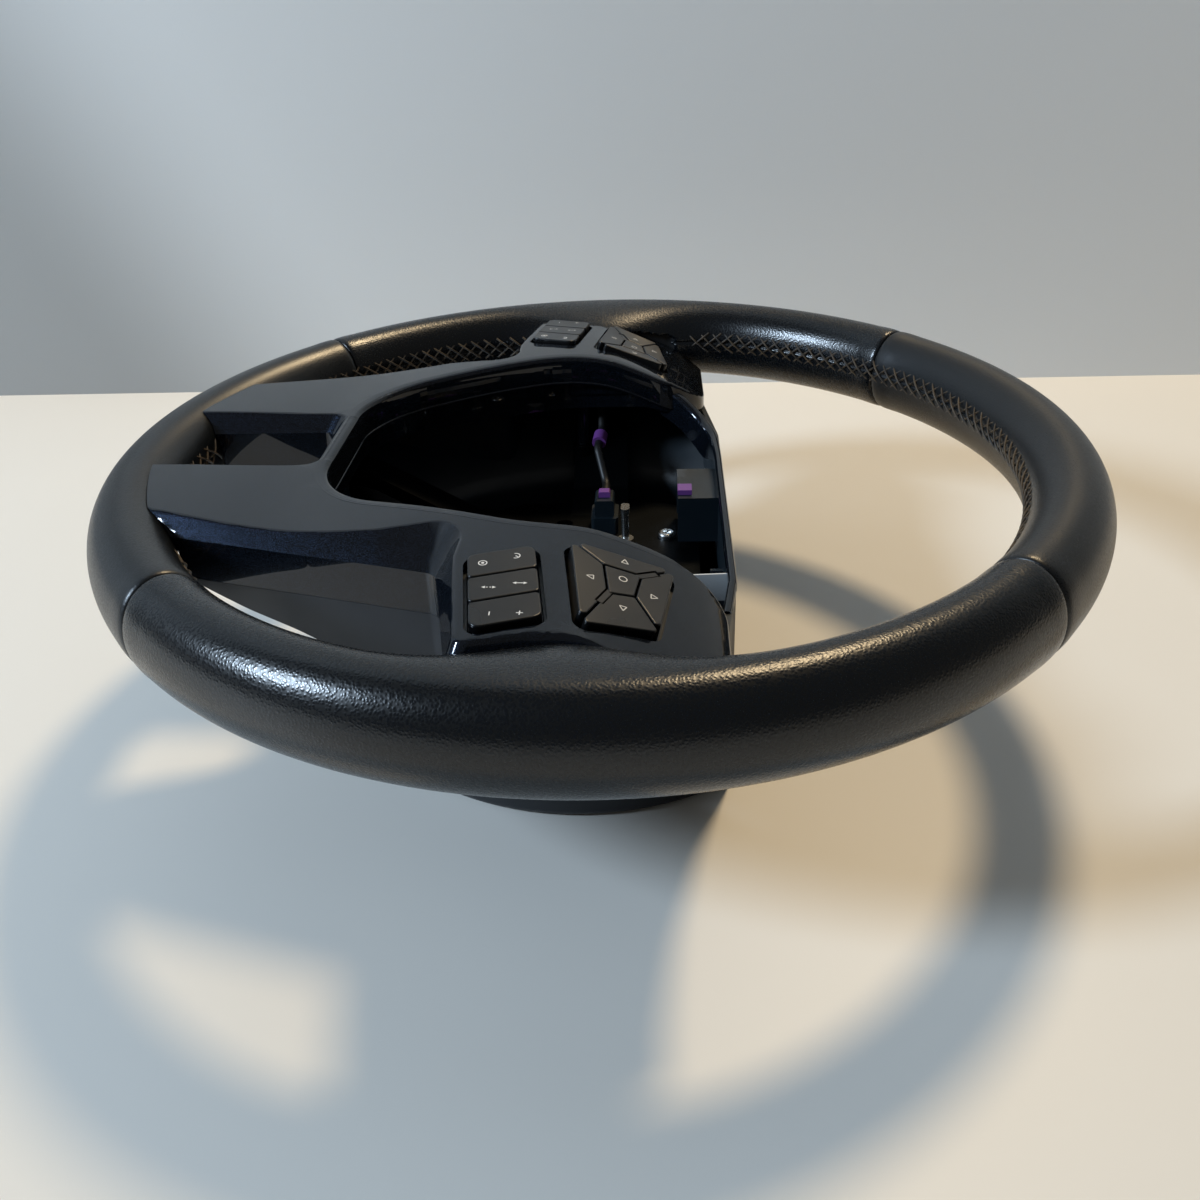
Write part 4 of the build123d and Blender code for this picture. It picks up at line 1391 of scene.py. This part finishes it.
    def build(self) -> None:
        """Set the stage."""
        edge, far = self.table_edge, self.table_reach
        self.surface(
            "table", [(edge, -far, 0), (far, -far, 0), (far, far, 0), (edge, far, 0)], "#e4e1da",
            roughness=0.5,
        )
        self.wall()
        self.lamp("cool_window", (930, -2300, 1600), size=560, watts=78, tone="#cfe5fb")
        self.lamp("warm_lamp", (-1700, 740, 2840), size=560, watts=66, tone="#ffe2b4")
        world = bpy.data.worlds.new("room")
        bpy.context.scene.world = world
        world.use_nodes = True
        sky = world.node_tree.nodes["Background"]
        sky.inputs["Color"].default_value = colour(self.glow_tone)
        sky.inputs["Strength"].default_value = self.glow
        bpy.context.scene.view_settings.view_transform = "Standard"
        self.camera()


def main() -> None:
    """Build the looks in order and report each piece."""
    logging.basicConfig(level=logging.INFO, format="%(message)s")
    FRAME.update(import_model())
    # The third colour of each leather is painted shade for the creases between its pebbles.
    pebbled = Leather(
        "pebbled_black_leather", "#050b12", "#030609", pebble_mm=1.1, relief_mm=0.044, smooth=0.13, rough=0.25
    ).material()
    smooth = Leather(
        "fine_black_leather", "#050b12", "#030609", pebble_mm=0.8, relief_mm=0.028, smooth=0.22, rough=0.33
    ).material()
    grip = Grip(pebbled, smooth)
    for panel in grip.build():
        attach(panel, BODY)
        LOG.info("leather %s", panel.name)
    stitches = CrossStitch(grip, Thread().material()).build()
    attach(stitches, BODY)
    LOG.info("stitches %d faces", len(stitches.data.polygons))
    lacquer = FlakeLacquer().material()
    slate = MouldedPlastic("slate_moulded_plastic", "#181d24", 0.48).material()
    black = MouldedPlastic("black_plastic", "#101b22", 0.38).material()
    finishes = {
        "trim_gloss": lacquer,
        "cover_slate": slate,
        "key_satin": MouldedPlastic(
            "satin_black_plastic", "#07080a", 0.3, grit_mm=0.25, relief_mm=0.004, mottle=0.03
        ).material(),
        "housing_black": black,
        "armature_alloy": Metal(
            "black_coated_alloy", "#101214", 0.5, grain_mm=1.2, relief_mm=0.05
        ).material(),
        "steel": Metal("zinc_plated_steel", "#c6c6c4", 0.28, grain_mm=0.6, relief_mm=0.01).material(),
        "violet": MouldedPlastic("violet_plastic", "#70408a", 0.42).material(),
        "silicone": MouldedPlastic("grey_silicone", "#9a9c9e", 0.6).material(),
        "board_green": MouldedPlastic("green_board", "#1f4a33", 0.35).material(),
        "lead_sleeve": MouldedPlastic("black_sleeve", "#0a0a0b", 0.5).material(),
        "ribbon": MouldedPlastic("pale_film", "#d3d7d9", 0.4).material(),
        "foam": MouldedPlastic("skinned_foam", "#101011", 0.8).material(),
        "leather_pebble": pebbled,
        "leather_smooth": smooth,
    }
    for part in FRAME["record"]["subparts"]:
        solid = frame_nodes()[part["node"]]
        solid.data.materials.clear()
        solid.data.materials.append(finishes[part["material_slot"]])
    lip = BayLip(lacquer).build()
    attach(lip, BODY)
    cap = WallCap(lacquer).build()
    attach(cap, BODY)
    trim = softened_copy("front_trim", "front_trim_moulding", lacquer, width_mm=0.5)
    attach(trim, BODY)
    # The cover's faces inside the bay take the black plastic, partly as painted shade.
    cover = RearCover(slate, black).build()
    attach(cover, BODY)
    for moulding in (lip, cap, trim, cover):
        LOG.info("moulding %s", moulding.name)
    ink = Paint().material()
    for side in Side:
        for legend in Legends(side, ink).build():
            LOG.info("legend %s", legend.name)
    Studio().build()


if __name__ == "__main__":
    main()
